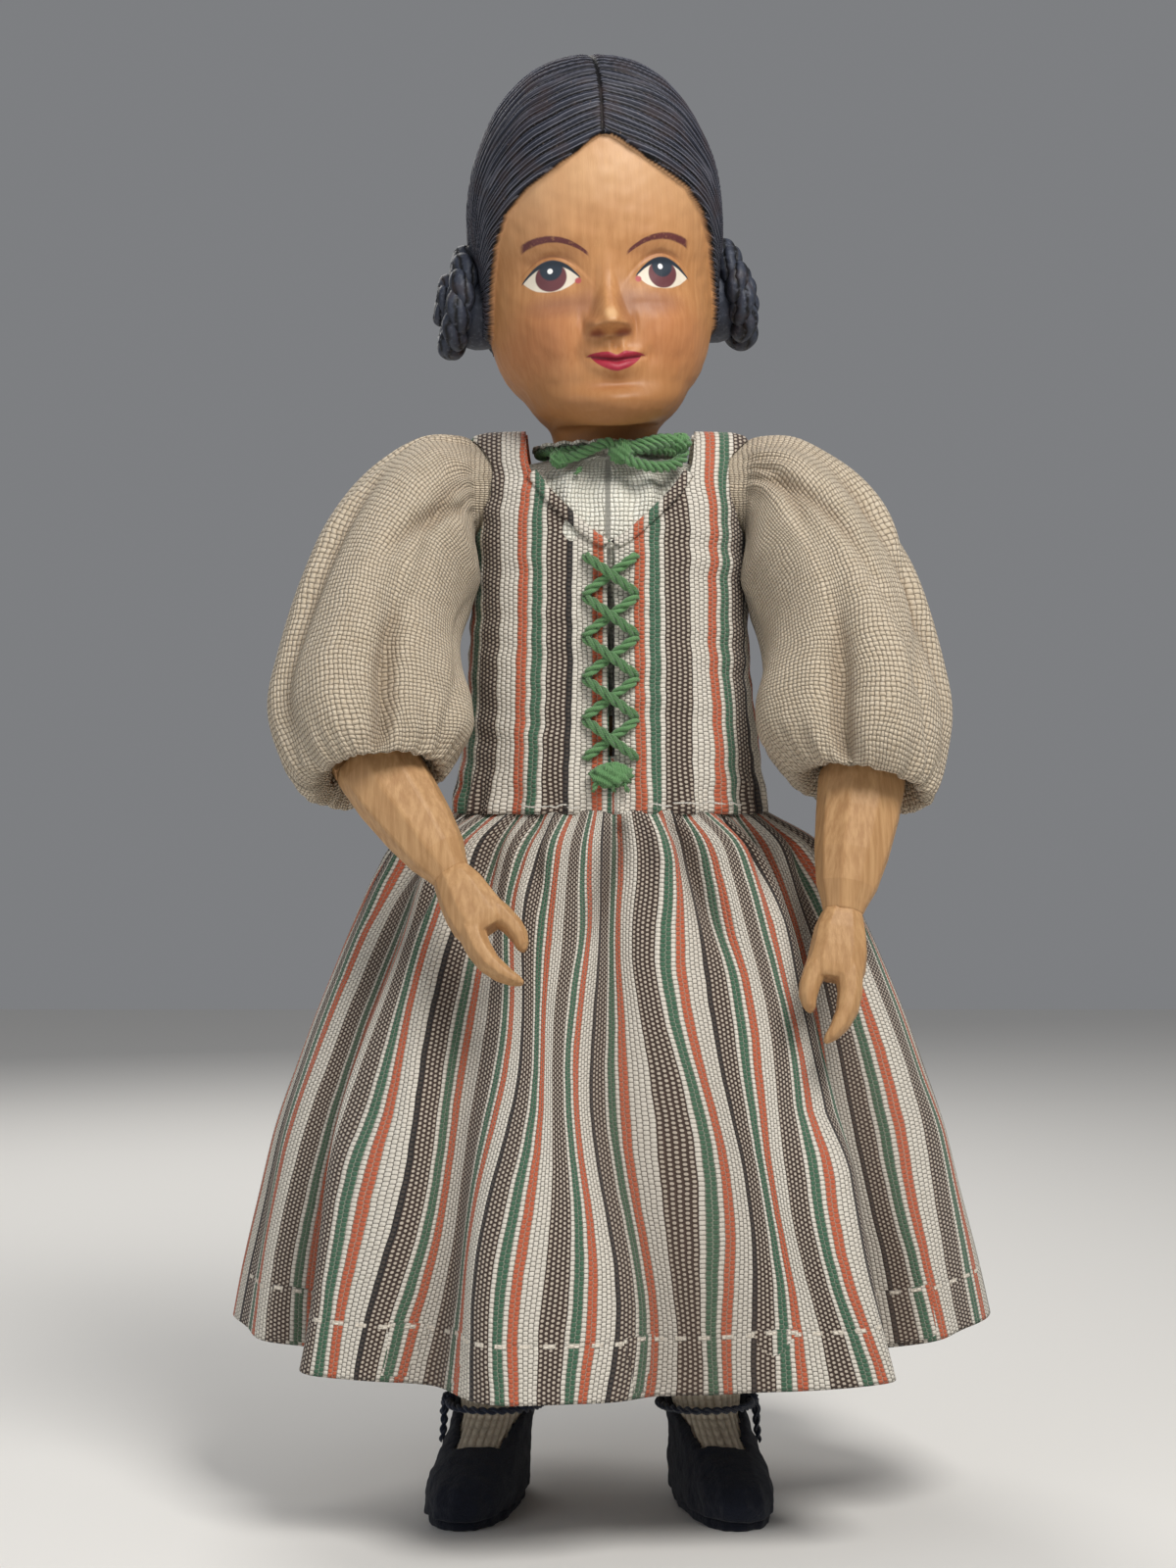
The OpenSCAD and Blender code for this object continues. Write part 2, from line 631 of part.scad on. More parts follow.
module thigh(side) {
    shape = [[0, knee_d, knee_d], [0.15, knee_d, knee_d], [0.5, knee_d * 1.04, knee_d * 1.06],
             [0.8, thigh_t * 1.12, thigh_d * 0.96], [1, thigh_t, thigh_d * 0.9]];
    knee_x = leg_at(side, knee_z);
    color("burlywood") mirror_side(side) difference() {
        union() {
            translate([leg_x - thigh_t / 2, 0, hip_z]) rotate([0, 90, 0]) cylinder(d = thigh_d, h = thigh_t);
            intersection() {
                loft(limb_rings([knee_x, 0, knee_z], [leg_x, 0, hip_z], shape));
                translate([leg_x - thigh_t / 2, -thigh_d, 0]) cube([2 * thigh_d, 2 * thigh_d, hip_z]);
            }
            translate([knee_x - knee_d / 2, 0, knee_z]) rotate([0, 90, 0])
                cylinder(d = knee_d - 2 * slide_gap, h = knee_d);
        }
        translate([knee_x - tongue_t / 2 - slide_gap / 2, -knee_d, knee_z - knee_d])
            cube([tongue_t + slide_gap, 2 * knee_d, knee_d + knee_seat + slide_gap]);
        translate([knee_x - knee_d / 2 - over, 0, knee_z]) rotate([0, 90, 0])
            cylinder(d = pin_d, h = knee_d + 2 * over);
        translate([leg_x - thigh_t / 2 - over, 0, hip_z]) rotate([0, 90, 0])
            cylinder(d = dowel_d + 2 * run_gap, h = thigh_t + 2 * over);
    }
}

module knee_pin(side) {
    knee_x = leg_at(side, knee_z);
    color("tan") mirror_side(side) translate([knee_x - knee_d / 2, 0, knee_z]) rotate([0, 90, 0])
        cylinder(d = pin_d, h = knee_d);
}

// Shoe: [height share, half width share, reach share to the toe, reach share to the heel]
shoe_shape_shares = [
    [0, 0.92, 0.95, 0.9], [0.1, 1, 0.995, 0.98], [0.26, 1, 1, 1], [0.4, 0.96, 0.94, 0.98],
    [0.54, 0.9, 0.78, 0.95], [0.68, 0.87, 0.56, 0.9], [0.84, 0.86, 0.37, 0.84], [1, 0.9, 0.32, 0.82]
];
toe_share = 0.73;

// Rings of the shoe's shape, drawn in by some thickness all round
function shoe_rings(side, draw_in) = [
    for (s = shoe_shape_shares)
        let (z = max(s[0] * shoe_h, sole_t))
        [for (i = [0:foot_points - 1])
            let (
                xy = oval(360 * i / foot_points, s[1] * shoe_w / 2 - draw_in,
                    s[2] * shoe_len * toe_share - draw_in, s[3] * shoe_len * (1 - toe_share) - draw_in, 2.3),
                x = xy.x * cos(toe_out) - xy.y * sin(toe_out),
                y = xy.x * sin(toe_out) + xy.y * cos(toe_out)
            )
            [leg_at(side, z) + x, y, z]]
];

// Lower leg over the foot: [share of the height, width]
function leg_d(z) =
    let (low = shoe_h / 2, share = (z - low) / (knee_z - knee_seat - low))
    lookup(share, [[0, ankle_d], [0.25, ankle_d], [0.7, calf_d], [1, knee_d]]);

module lower_leg(side) {
    knee_x = leg_at(side, knee_z);
    low = shoe_h / 2;
    high = knee_z - knee_seat;
    tongue_d = knee_d - 2 * slide_gap;
    foot_in = felt_t + sock_t + 2 * touch_gap;
    color("burlywood") mirror_side(side) difference() {
        union() {
            loft([for (k = [0:6]) [
                for (p = shoe_rings(side, foot_in)[k])
                    [p.x, p.y, max(p.z, sole_t + felt_t + sock_t + 2 * touch_gap)]
            ]]);
            loft(limb_rings([leg_at(side, low), 0, low], [leg_at(side, high), 0, high], [
                for (t = [0, 0.25, 0.7, 1]) let (d = leg_d(low + t * (high - low))) [t, d, d]
            ]));
            translate([knee_x - tongue_t / 2, 0, knee_z]) rotate([0, 90, 0]) cylinder(d = tongue_d, h = tongue_t);
            translate([knee_x - tongue_t / 2, -tongue_d / 2, knee_z - knee_seat - over])
                cube([tongue_t, tongue_d, knee_seat + over]);
        }
        translate([knee_x - tongue_t / 2 - over, 0, knee_z]) rotate([0, 90, 0])
            cylinder(d = pin_d + 2 * run_gap, h = tongue_t + 2 * over);
    }
}

// Shoes and socks

module foot_solid(side, draw_in, low, high) {
    loft([for (k = [0:len(shoe_shape_shares) - 1])
        [for (p = shoe_rings(side, draw_in)[k]) [p.x, p.y, max(p.z, low)]],
        [for (p = shoe_rings(side, draw_in)[len(shoe_shape_shares) - 1]) [p.x, p.y, high]]
    ]);
}

module shoe(side) {
    color("midnightblue") mirror_side(side) difference() {
        foot_solid(side, 0, sole_t, shoe_h + touch_gap);
        foot_solid(side, felt_t, sole_t + felt_t, shoe_h + over);
        // Low front of the opening, that shows the sock
        translate([leg_at(side, shoe_h) - shoe_len / 2, -shoe_len * throat_reach_share, shoe_h * throat_share])
            rotate([throat_slope, 0, 0]) cube([shoe_len, shoe_len, shoe_h]);
    }
}

// Height of the shoe's edge over the instep, how far in front of the heel it starts, and its slope
throat_share = 0.62;
throat_reach_share = 0.4;
throat_slope = 24;

module shoe_sole(side) {
    rings = shoe_rings(side, 0);
    color("black") mirror_side(side)
        loft([[for (p = rings[0]) [p.x, p.y, 0]], [for (p = rings[0]) [p.x, p.y, sole_t]]]);
}

module sock(side) {
    outer_in = felt_t + touch_gap;
    color("ivory") mirror_side(side) difference() {
        sock_solid(side, outer_in, sock_t + touch_gap, 0, sock_top);
        sock_solid(side, outer_in + sock_t, touch_gap, sock_t, sock_top + over);
    }
}

// A foot's shape that runs on up the leg
module sock_solid(side, draw_in, round_leg, low, high) {
    count = len(shoe_shape_shares);
    rings = shoe_rings(side, draw_in);
    loft(concat(
        [for (k = [0:count - 1]) [for (p = rings[k]) [p.x, p.y, max(p.z, sole_t + felt_t + touch_gap + low)]]],
        [for (z = [shoe_h * 1.25, high]) [for (i = [0:foot_points - 1])
            let (
                angle = 360 * i / foot_points,
                r = leg_d(z) / 2 / cos(180 / whittle_sides) + round_leg,
                x = r * sin(angle), y = -r * cos(angle)
            )
            [leg_at(side, z) + x * cos(toe_out) - y * sin(toe_out), x * sin(toe_out) + y * cos(toe_out), z]]]
    ));
}

// Cord tied round the ankle, with its end hanging outside
module ankle_cord(side) {
    z_front = shoe_h * 0.93;
    z_back = shoe_h * 0.84;
    r = ankle_cord_d / 2 + touch_gap;
    half_w = shoe_w / 2 * 0.9 + r;
    front = shoe_len * toe_share * 0.36 + r;
    back = shoe_len * (1 - toe_share) * 0.85 + r;
    count = 20;
    loop = [for (k = [0:count])
        let (
            angle = 94 + 352 * k / count,
            xy = oval(angle, half_w, front, back, 2.1),
            x = xy.x * cos(toe_out) - xy.y * sin(toe_out),
            y = xy.x * sin(toe_out) + xy.y * cos(toe_out),
            z = (z_front + z_back) / 2 + (z_front - z_back) / 2 * cos(angle)
        )
        [leg_at(side, z) + x, y, z]];
    start = loop[0];
    tail = [
        start + [ankle_cord_d * 0.2, 0, ankle_cord_d * 0.4],
        start + [ankle_cord_d * 0.8, -ankle_cord_d * 0.6, -ankle_cord_d * 0.6],
        start + [ankle_cord_d, -ankle_cord_d * 1.4, -ankle_cord_d * 2.6],
        start + [ankle_cord_d * 1.2, -ankle_cord_d * 1.6, -ankle_cord_d * 5]
    ];
    color("darkslateblue") mirror_side(side) {
        loft(cord_rings(loop, ankle_cord_d, [0, 0, 1]));
        loft(cord_rings(tail, ankle_cord_d, [0, 1, 0]));
        translate(start) sphere(d = ankle_cord_d * 1.7, $fn = 12);
    }
}

// Clothes

function torso_half(t) = torso_w / 2 * curve(t, torso_width_shares);
function torso_deep(t) = torso_d / 2 * curve(t, torso_depth_shares);

function blouse_rings(out) = concat(
    [for (t = [1 - blouse_len / torso_h, 0.45, 0.6, 0.75, 0.86, 0.94, 0.98, 1])
        // At the torso's top the cloth leaves room for the foot of the neck
        let (room = t == 1 ? neck_d / 2 + cloth_gap : 0, deep = max(torso_deep(t), room) + out)
        oval_ring(torso_points, torso_z + t * torso_h + (t == 1 ? out : 0),
            max(torso_half(t), room) + out, deep, deep, 2.5)],
    [for (z = [slide_gap * 2, collar_h])
        oval_ring(torso_points, top_z + z + out, neck_d / 2 + out * 1.6, neck_d / 2 + out * 1.6,
            neck_d / 2 + out * 1.6, 2)]
);

// Height of the gathered collar over the torso's top
collar_h = 1.6;
// Radius of the hole that the arm's disc turns in
armhole_r = shoulder_disc_d / 2 + cloth_gap;

module blouse() {
    color("cornsilk") difference() {
        cloth_shell(blouse_rings(cloth_gap + linen_t), blouse_rings(cloth_gap));
        for (side = [-1, 1]) mirror_side(side)
            translate([torso_w / 2 - 3 * over, 0, shoulder_z]) rotate([0, 90, 0])
                cylinder(r = armhole_r, h = shoulder_disc_t);
    }
}

// Bodice: width, depth and height shares from the waist seam to the top of the strap
bodice_shape_shares = [
    [0, 0, 0], [0.12, 0.35, 0.3], [0.32, 0.8, 0.75], [0.55, 1, 1], [0.74, 1, 1]
];

function bodice_z(share) = waist_z + share * bodice_len;
function bodice_half(share) =
    waist_w / 2 + (bodice_w - waist_w) / 2 * curve(share, [for (s = bodice_shape_shares) [s[0], s[1]]]);
function bodice_deep(share) =
    waist_d / 2 + (bodice_d - waist_d) / 2 * curve(share, [for (s = bodice_shape_shares) [s[0], s[2]]]);
// Over the shoulder: [share of the rise, width share, depth share]
strap_shape_shares = [[0.85, 1, 0.92], [0.92, 1, 0.78], [0.965, 0.995, 0.6], [0.99, 0.97, 0.38], [1, 0.88, 0.16]];

function bodice_rings(draw_in) = concat(
    [for (t = [0, 0.1, 0.3, 0.5, 0.74]) oval_ring(bodice_points, bodice_z(t) - (t == 0 && draw_in > 0 ? over : 0),
        bodice_half(t) - draw_in, bodice_deep(t) - draw_in, bodice_deep(t) - draw_in, 2.45)],
    [for (s = strap_shape_shares) oval_ring(bodice_points, bodice_z(s[0]) - draw_in,
        bodice_w / 2 * s[1] - draw_in, bodice_d / 2 * s[2] - draw_in * 0.9,
        bodice_d / 2 * s[2] - draw_in * 0.9, 2.45)]
);

// Width of the opening that the lace pulls together
slit_w = 0.8;
// Height share of the bodice where the opening ends
slit_end_share = 0.1;

module bodice() {
    neckline_z = top_z - neckline_drop;
    high = top_z + 2 * strap_rise;
    color("rosybrown") difference() {
        loft(bodice_rings(0));
        loft(bodice_rings(cloth_t));
        // Neckline of the front
        rotate([90, 0, 0]) linear_extrude(height = bodice_d) polygon([
            [0, neckline_z], [neckline_half * 0.25, neckline_z + neckline_drop * 0.16],
            [neckline_half * 0.72, neckline_z + neckline_drop * 0.55], [neckline_half * 0.9, top_z - strap_rise / 2],
            [neckline_half, high], [-neckline_half, high],
            [-neckline_half * 0.9, top_z - strap_rise / 2], [-neckline_half * 0.72, neckline_z + neckline_drop * 0.55],
            [-neckline_half * 0.25, neckline_z + neckline_drop * 0.16]
        ]);
        // Neckline of the back
        translate([0, bodice_d, 0]) rotate([90, 0, 0]) linear_extrude(height = bodice_d + over) polygon([
            [-neckline_half * 0.7, top_z - strap_rise], [neckline_half * 0.7, top_z - strap_rise],
            [neckline_half, top_z], [neckline_half, high], [-neckline_half, high], [-neckline_half, top_z]
        ]);
        // Slit of the front
        translate([-slit_w / 2, -bodice_d, bodice_z(slit_end_share)])
            cube([slit_w, bodice_d, neckline_z - bodice_z(slit_end_share) + slit_w]);
        // Armholes
        for (side = [-1, 1]) mirror_side(side)
            translate([torso_w / 2 - over, 0, shoulder_z]) rotate([0, 90, 0])
                cylinder(r = armhole_r, h = shoulder_disc_t);
    }
}

module bodice_lace() {
    low = bodice_z(slit_end_share) + lace_d * 1.4;
    high = top_z - neckline_drop - lace_d * 2;
    pitch = (high - low) / lace_crossings;
    color("seagreen") {
        for (strand = [0, 1]) loft(cord_rings([
            for (k = [-1:2 * lace_crossings])
                let (
                    z = low + k * pitch / 2,
                    share = (z - waist_z) / bodice_len,
                    left = (floor(k / 2) + strand) % 2 == 0 ? -1 : 1,
                    x = k < 0 ? lace_d * (strand - 0.5) : k % 2 == 0 ? left * lace_w / 2 : 0,
                    lift = k % 2 == 0 ? 0.56 : (strand == 0 ? 0.66 : 1.55)
                )
                [x, -bodice_deep(share) - lace_d * lift, k < 0 ? bodice_z(slit_end_share) : z]
        ], lace_d, [0, 1, 0]));
        // Knot that the ends are tied in
        translate([0, -bodice_deep(slit_end_share) - lace_d * 0.95, bodice_z(slit_end_share)])
            scale([2.8, 1.1, 1.7]) sphere(d = lace_d * 1.5, $fn = 12);
    }
}

// Skirt: [share of the length from the hem, width share, depth share, how much of the folds shows]
skirt_shape_shares = [
    [0, 1, 1, 1], [0.1, 0.975, 0.965, 0.95], [0.24, 0.935, 0.9, 0.85], [0.41, 0.885, 0.77, 0.75],
    [0.57, 0.815, 0.635, 0.66], [0.7, 0.745, 0.54, 0.6], [0.8, 0.685, 0.475, 0.55], [0.88, 0.63, 0.43, 0.5],
    [0.945, 0.565, 0.405, 0.4], [1, 0.43, 0.33, 0]
];
// Folds: [angle from the front towards the left hand, width in degrees, depth as a share]
fold_shares = [
    [54, 8, -1.3], [38, 9, 0.5], [22, 8, -0.6], [0, 8, -0.7], [-14, 8, 0.3], [-30, 9, -0.7], [-46, 9, 0.35],
    [-62, 9, -1], [-94, 12, 0.4], [82, 12, 0.4], [110, 11, -1.1], [132, 10, 0.4], [154, 11, -1],
    [182, 11, -1.1], [206, 10, 0.4], [226, 11, -1], [-116, 10, -1]
];
// Gathers at the waist seam
gathers = 14;
// How far the hem rises from the front to the back
hem_rise = 7;

function turned(angle) = angle - 360 * round(angle / 360);

function fold_at(angle, list, i = 0) =
    i >= len(list) ? 0 :
    list[i][2] * bump(turned(angle - list[i][0]), list[i][1]) + fold_at(angle, list, i + 1);

function skirt_ring(s, draw_in) = [
    for (i = [0:skirt_points - 1])
        let (
            angle = 360 * i / skirt_points,
            fold = fold_depth * (s[3] * fold_at(angle, fold_shares)
                + 0.3 * bump(s[0] - 0.9, 0.1) * cos(gathers * angle)),
            lift = hem_rise * (pow(sin(angle / 2), 2) + 0.4 * bump(turned(angle - 84), 34)),
            xy = oval(angle, hem_w / 2 * s[1] - draw_in + fold, hem_d / 2 * s[2] - draw_in + fold,
                hem_d / 2 * s[2] - draw_in + fold, 2.05)
        )
        [xy.x, xy.y, hem_z + s[0] * skirt_len + lift * pow(1 - s[0], 1.5)]
];

module skirt() {
    color("tan") cloth_shell(
        [for (s = skirt_shape_shares) skirt_ring(s, 0)],
        [for (s = skirt_shape_shares) skirt_ring(s, cloth_t)]
    );
}

// Sleeve: [out from the armhole, down from the shoulder, turn from out to down, half width, half depth],
// with the lengths as shares of the upper arm's drop
sleeve_shape_shares = [
    [0, 0, 0, 0.212, 0.212], [0.05, 0.005, 8, 0.262, 0.27], [0.14, 0.06, 30, 0.325, 0.34],
    [0.235, 0.17, 52, 0.36, 0.385], [0.31, 0.35, 68, 0.372, 0.4], [0.365, 0.56, 78, 0.38, 0.405],
    [0.395, 0.77, 86, 0.378, 0.395], [0.405, 0.96, 90, 0.355, 0.365], [0.405, 1.11, 90, 0.31, 0.315],
    [0.405, 1.19, 90, 0.245, 0.245]
];
// How far from the elbow pin the sleeve's hem is gathered, and its clearance round the elbow
hem_out_share = 0.9;
hem_gap = 0.5;

function sleeve_ring(c, turn, a, b) = [
    for (i = [0:sleeve_points - 1])
        let (angle = -360 * i / sleeve_points, out = a * cos(angle))
        [max(c.x + out * sin(turn), side_x + cloth_gap), c.y + b * sin(angle), c.z + out * cos(turn)]
];

// The inner side of a sheet, square to the outer side that these rings go down
function inset_rings(rings, thick) =
    let (m = len(rings[0]), last = len(rings) - 1)
    [for (k = [0:last]) [for (i = [0:m - 1])
        let (
            along = rings[k][(i + 1) % m] - rings[k][(i + m - 1) % m],
            down = rings[min(k + 1, last)][i] - rings[max(k - 1, 0)][i]
        )
        rings[k][i] + thick * unit(cross(down, along))]];

function sleeve_rings(side) = concat(
    [for (s = sleeve_shape_shares)
        let (
            u = upper_arm_drop,
            bag = s[1] > 1 ? sleeve_bag - 0.2 * u : 0,
            grow = s[1] == 0 ? sleeve_head_d / (0.47 * u) : sleeve_d / (0.79 * u),
            follow = (s[1] > 1 ? (s[1] > 1.15 ? 1 : 0.55) : 0) * (s[1] - 1) * u * tan(bent(side)),
            c = [side_x + 2 * cloth_gap + s[0] * u - follow, 0, shoulder_z - s[1] * u - bag]
        )
        sleeve_ring(c, s[2], s[3] * u * grow, s[4] * u * grow)],
    [let (
        b = bent(side), d = elbow_seat * hem_out_share,
        c = [elbow_x - d * sin(b), 0, elbow_z - d * cos(b)]
    )
    sleeve_ring(c, 90 + b, forearm_w / 2 + hem_gap + linen_t, forearm_t / 2 + hem_gap + linen_t)]
);

module sleeve(side) {
    color("cornsilk") swung(side) mirror_side(side)
        cloth_shell(sleeve_rings(side), inset_rings(sleeve_rings(side), linen_t));
}

// Cord gathered round the collar and tied in a bow at the front
module neck_tie() {
    r = neck_d / 2 + (cloth_gap + linen_t) * 1.6 + tie_d / 2 + cloth_gap;
    z = top_z + cloth_gap + linen_t + tie_d / 2 + touch_gap;
    count = 28;
    loop = [for (k = [0:count])
        let (angle = 8 + 344 * k / count)
        [r * sin(angle), -r * cos(angle), z + tie_d * 0.2 * (1 - cos(angle))]];
    knot = [tie_d * 0.6, -r - tie_d * 0.75, z - tie_d * 0.35];
    bow_low = [
        knot, knot + [tie_d * 1.6, -tie_d * 0.2, -tie_d * 0.9], knot + [tie_d * 3.6, tie_d * 0.1, -tie_d],
        knot + [tie_d * 5.4, tie_d * 0.6, -tie_d * 0.5], knot + [tie_d * 6, tie_d * 0.9, tie_d * 0.4]
    ];
    bow_high = [
        knot + [tie_d * 6.1, tie_d * 0.9, -tie_d * 0.1], knot + [tie_d * 5, tie_d * 0.5, tie_d * 1.2],
        knot + [tie_d * 3, 0, tie_d * 1.2], knot + [tie_d * 0.4, 0, tie_d * 0.3]
    ];
    tail = [
        knot, knot + [-tie_d * 1.6, 0, tie_d * 0.6], knot + [-tie_d * 3.4, tie_d * 0.5, tie_d * 0.2],
        knot + [-tie_d * 5, tie_d * 1.2, -tie_d * 0.3]
    ];
    color("seagreen") {
        loft(cord_rings(loop, tie_d, [0, 0, 1]));
        loft(cord_rings(bow_low, tie_d, [0, 1, 0]));
        loft(cord_rings(bow_high, tie_d, [0, 1, 0]));
        loft(cord_rings(tail, tie_d, [0, 1, 0]));
        translate(knot) scale([1.3, 1, 1.2]) sphere(d = tie_d * 1.4, $fn = 12);
    }
}

torso();
shoulder_peg(-1);  // shoulder_peg_right
shoulder_peg(1);  // shoulder_peg_left
hip_dowel();
head();
neck_dowel();
upper_arm(-1);  // upper_arm_right
elbow_pin(-1);  // elbow_pin_right
forearm(-1);  // forearm_right
upper_arm(1);  // upper_arm_left
elbow_pin(1);  // elbow_pin_left
forearm(1);  // forearm_left
thigh(-1);  // thigh_right
knee_pin(-1);  // knee_pin_right
lower_leg(-1);  // lower_leg_right
thigh(1);  // thigh_left
knee_pin(1);  // knee_pin_left
lower_leg(1);  // lower_leg_left
sock(-1);  // sock_right
shoe(-1);  // shoe_right
shoe_sole(-1);  // shoe_sole_right
ankle_cord(-1);  // ankle_cord_right
sock(1);  // sock_left
shoe(1);  // shoe_left
shoe_sole(1);  // shoe_sole_left
ankle_cord(1);  // ankle_cord_left
blouse();
sleeve(-1);  // sleeve_right
sleeve(1);  // sleeve_left
bodice();
bodice_lace();
skirt();
neck_tie();
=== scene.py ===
# Peg-jointed wooden doll in folk dress: the looks of each piece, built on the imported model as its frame.
import math

import bmesh
import bpy
import numpy as np
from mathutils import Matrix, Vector


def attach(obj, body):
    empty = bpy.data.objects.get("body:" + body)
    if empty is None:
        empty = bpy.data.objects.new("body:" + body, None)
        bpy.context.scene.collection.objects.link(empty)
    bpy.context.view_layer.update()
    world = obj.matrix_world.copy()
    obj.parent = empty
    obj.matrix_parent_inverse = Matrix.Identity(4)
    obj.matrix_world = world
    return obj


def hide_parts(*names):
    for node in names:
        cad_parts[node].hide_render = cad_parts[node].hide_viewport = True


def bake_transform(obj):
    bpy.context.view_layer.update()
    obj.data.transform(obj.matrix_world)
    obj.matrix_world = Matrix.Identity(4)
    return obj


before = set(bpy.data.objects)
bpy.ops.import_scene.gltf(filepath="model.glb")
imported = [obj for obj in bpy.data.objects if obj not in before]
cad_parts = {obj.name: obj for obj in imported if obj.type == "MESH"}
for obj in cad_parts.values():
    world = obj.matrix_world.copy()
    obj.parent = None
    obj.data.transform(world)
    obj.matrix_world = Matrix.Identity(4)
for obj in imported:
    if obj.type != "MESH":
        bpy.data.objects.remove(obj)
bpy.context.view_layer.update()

MM = 0.001


# Wooden figure: torso, hips, arms and legs, and the dowels and pins that join them. It is turned and
# whittled from linden wood and lightly oiled. The dress covers all but the wrists and the hands, so the
# frame's own shapes stay, in the look of the wood.

class Node:
    """A value in a material's node tree, that sums and products make into math nodes."""

    tree = None

    def __init__(self, socket):
        self.socket = socket

    @staticmethod
    def math(operation, *inputs):
        node = Node.tree.nodes.new("ShaderNodeMath")
        node.operation = operation
        for k, value in enumerate(inputs):
            Node.put(node.inputs[k], value)
        return Node(node.outputs[0])

    @staticmethod
    def put(socket, value):
        if isinstance(value, Node):
            Node.tree.links.new(value.socket, socket)
        elif isinstance(value, (tuple, list)) and len(value) == 3 and socket.type == "RGBA":
            socket.default_value = (*value, 1)
        else:
            socket.default_value = value

    def __add__(self, other):
        return Node.math("ADD", self, other)

    def __sub__(self, other):
        return Node.math("SUBTRACT", self, other)

    def __rsub__(self, other):
        return Node.math("SUBTRACT", other, self)

    def __mul__(self, other):
        return Node.math("MULTIPLY", self, other)

    def __truediv__(self, other):
        return Node.math("DIVIDE", self, other)

    def __pow__(self, other):
        return Node.math("POWER", self, other)

    __radd__ = __add__
    __rmul__ = __mul__


def object_place():
    """The point's place in millimetres."""
    made = Node.tree.nodes.new("ShaderNodeTexCoord")
    scale = Node.tree.nodes.new("ShaderNodeVectorMath")
    scale.operation = "SCALE"
    Node.tree.links.new(made.outputs["Object"], scale.inputs[0])
    scale.inputs["Scale"].default_value = 1 / MM
    return Node(scale.outputs[0])


def cloud(place, size, detail=2.0, stretch=(1, 1, 1), rough=0.5):
    """Noise from 0 to 1 whose patches are about this many millimetres wide."""
    mapping = Node.tree.nodes.new("ShaderNodeMapping")
    Node.put(mapping.inputs["Vector"], place)
    mapping.inputs["Scale"].default_value = [1 / (size * s) for s in stretch]
    made = Node.tree.nodes.new("ShaderNodeTexNoise")
    Node.tree.links.new(mapping.outputs[0], made.inputs["Vector"])
    made.inputs["Scale"].default_value = 1
    made.inputs["Detail"].default_value = detail
    made.inputs["Roughness"].default_value = rough
    return Node(made.outputs[0])


def step(value, low, high):
    """0 below low, 1 above high and smooth between."""
    made = Node.tree.nodes.new("ShaderNodeMapRange")
    made.interpolation_type = "SMOOTHSTEP"
    Node.put(made.inputs["Value"], value)
    made.inputs["From Min"].default_value = low
    made.inputs["From Max"].default_value = high
    return Node(made.outputs[0])


def mix(share, a, b):
    """Colour a where share is 0 and b where it is 1."""
    made = Node.tree.nodes.new("ShaderNodeMix")
    made.data_type = "RGBA"
    Node.put(made.inputs["Factor"], share)
    Node.put(made.inputs[6], a)
    Node.put(made.inputs[7], b)
    return Node(made.outputs[2])


def material(name, make):
    """A material whose make() gives the colour, roughness, height in millimetres and other inputs."""
    made = bpy.data.materials.new(name)
    made.use_nodes = True
    Node.tree = made.node_tree
    shader = made.node_tree.nodes["Principled BSDF"]
    look = make()
    Node.put(shader.inputs["Base Color"], look["colour"])
    Node.put(shader.inputs["Roughness"], look.get("rough", 0.6))
    for key, value in look.get("more", {}).items():
        Node.put(shader.inputs[key], value)
    if "height" in look:
        relief = made.node_tree.nodes.new("ShaderNodeBump")
        relief.inputs["Distance"].default_value = MM
        relief.inputs["Strength"].default_value = 1
        Node.put(relief.inputs["Height"], look["height"])
        made.node_tree.links.new(relief.outputs[0], shader.inputs["Normal"])
    return made


def tone(red, green, blue):
    """A display colour of 0 to 255 as the linear one that a shader takes."""
    return tuple(
        (c / 255 / 12.92) if c <= 10 else ((c / 255 + 0.055) / 1.055) ** 2.4 for c in (red, green, blue)
    )


def wood_look(dark, light, ring=2.2):
    """Fine long grain of linden wood, whittled and oiled."""
    place = object_place()
    long_grain = cloud(place, ring * 0.35, 4, (1, 1, 14), 0.6)
    patches = cloud(place, ring * 5, 2)
    pores = cloud(place, 0.16, 2, (1, 1, 9))
    shade = step(long_grain, 0.3, 0.75) * 0.65 + patches * 0.35
    return mix(shade, dark, light), long_grain * 0.03 + pores * 0.02


def limb_wood():
    colour, height = wood_look(tone(160, 118, 76), tone(198, 158, 112))
    return {"colour": colour, "rough": 0.52, "height": height, "more": {"Specular IOR Level": 0.35}}


WOOD = material("whittled_wood", limb_wood)
FIGURE = ["torso", "hip_dowel", "neck_dowel"] + [
    f"{part}_{hand}" for hand in ("right", "left")
    for part in ("shoulder_peg", "upper_arm", "elbow_pin", "thigh", "knee_pin", "lower_leg")
]
for part in FIGURE:
    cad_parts[part].data.materials.clear()
    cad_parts[part].data.materials.append(WOOD)


# Head: one carving of linden wood that turns on the neck dowel. The hair is combed in raised strands
# from the parting to the buns and painted slate blue. The face is cut in low relief, stained, and its
# eyes, brows and lips are painted by hand.

HEAD = {"height": 61.0, "width": 40.6, "face": 22.0, "nape": 22.0, "turn": 6.0, "lean": 2.8}
CHIN_Z, NECK_PIVOT_Z, NECK_TOP_Z = 169.0, 152.1, 164.1
HEAD_SQUARE, SKULL_Z = 2.15, 33
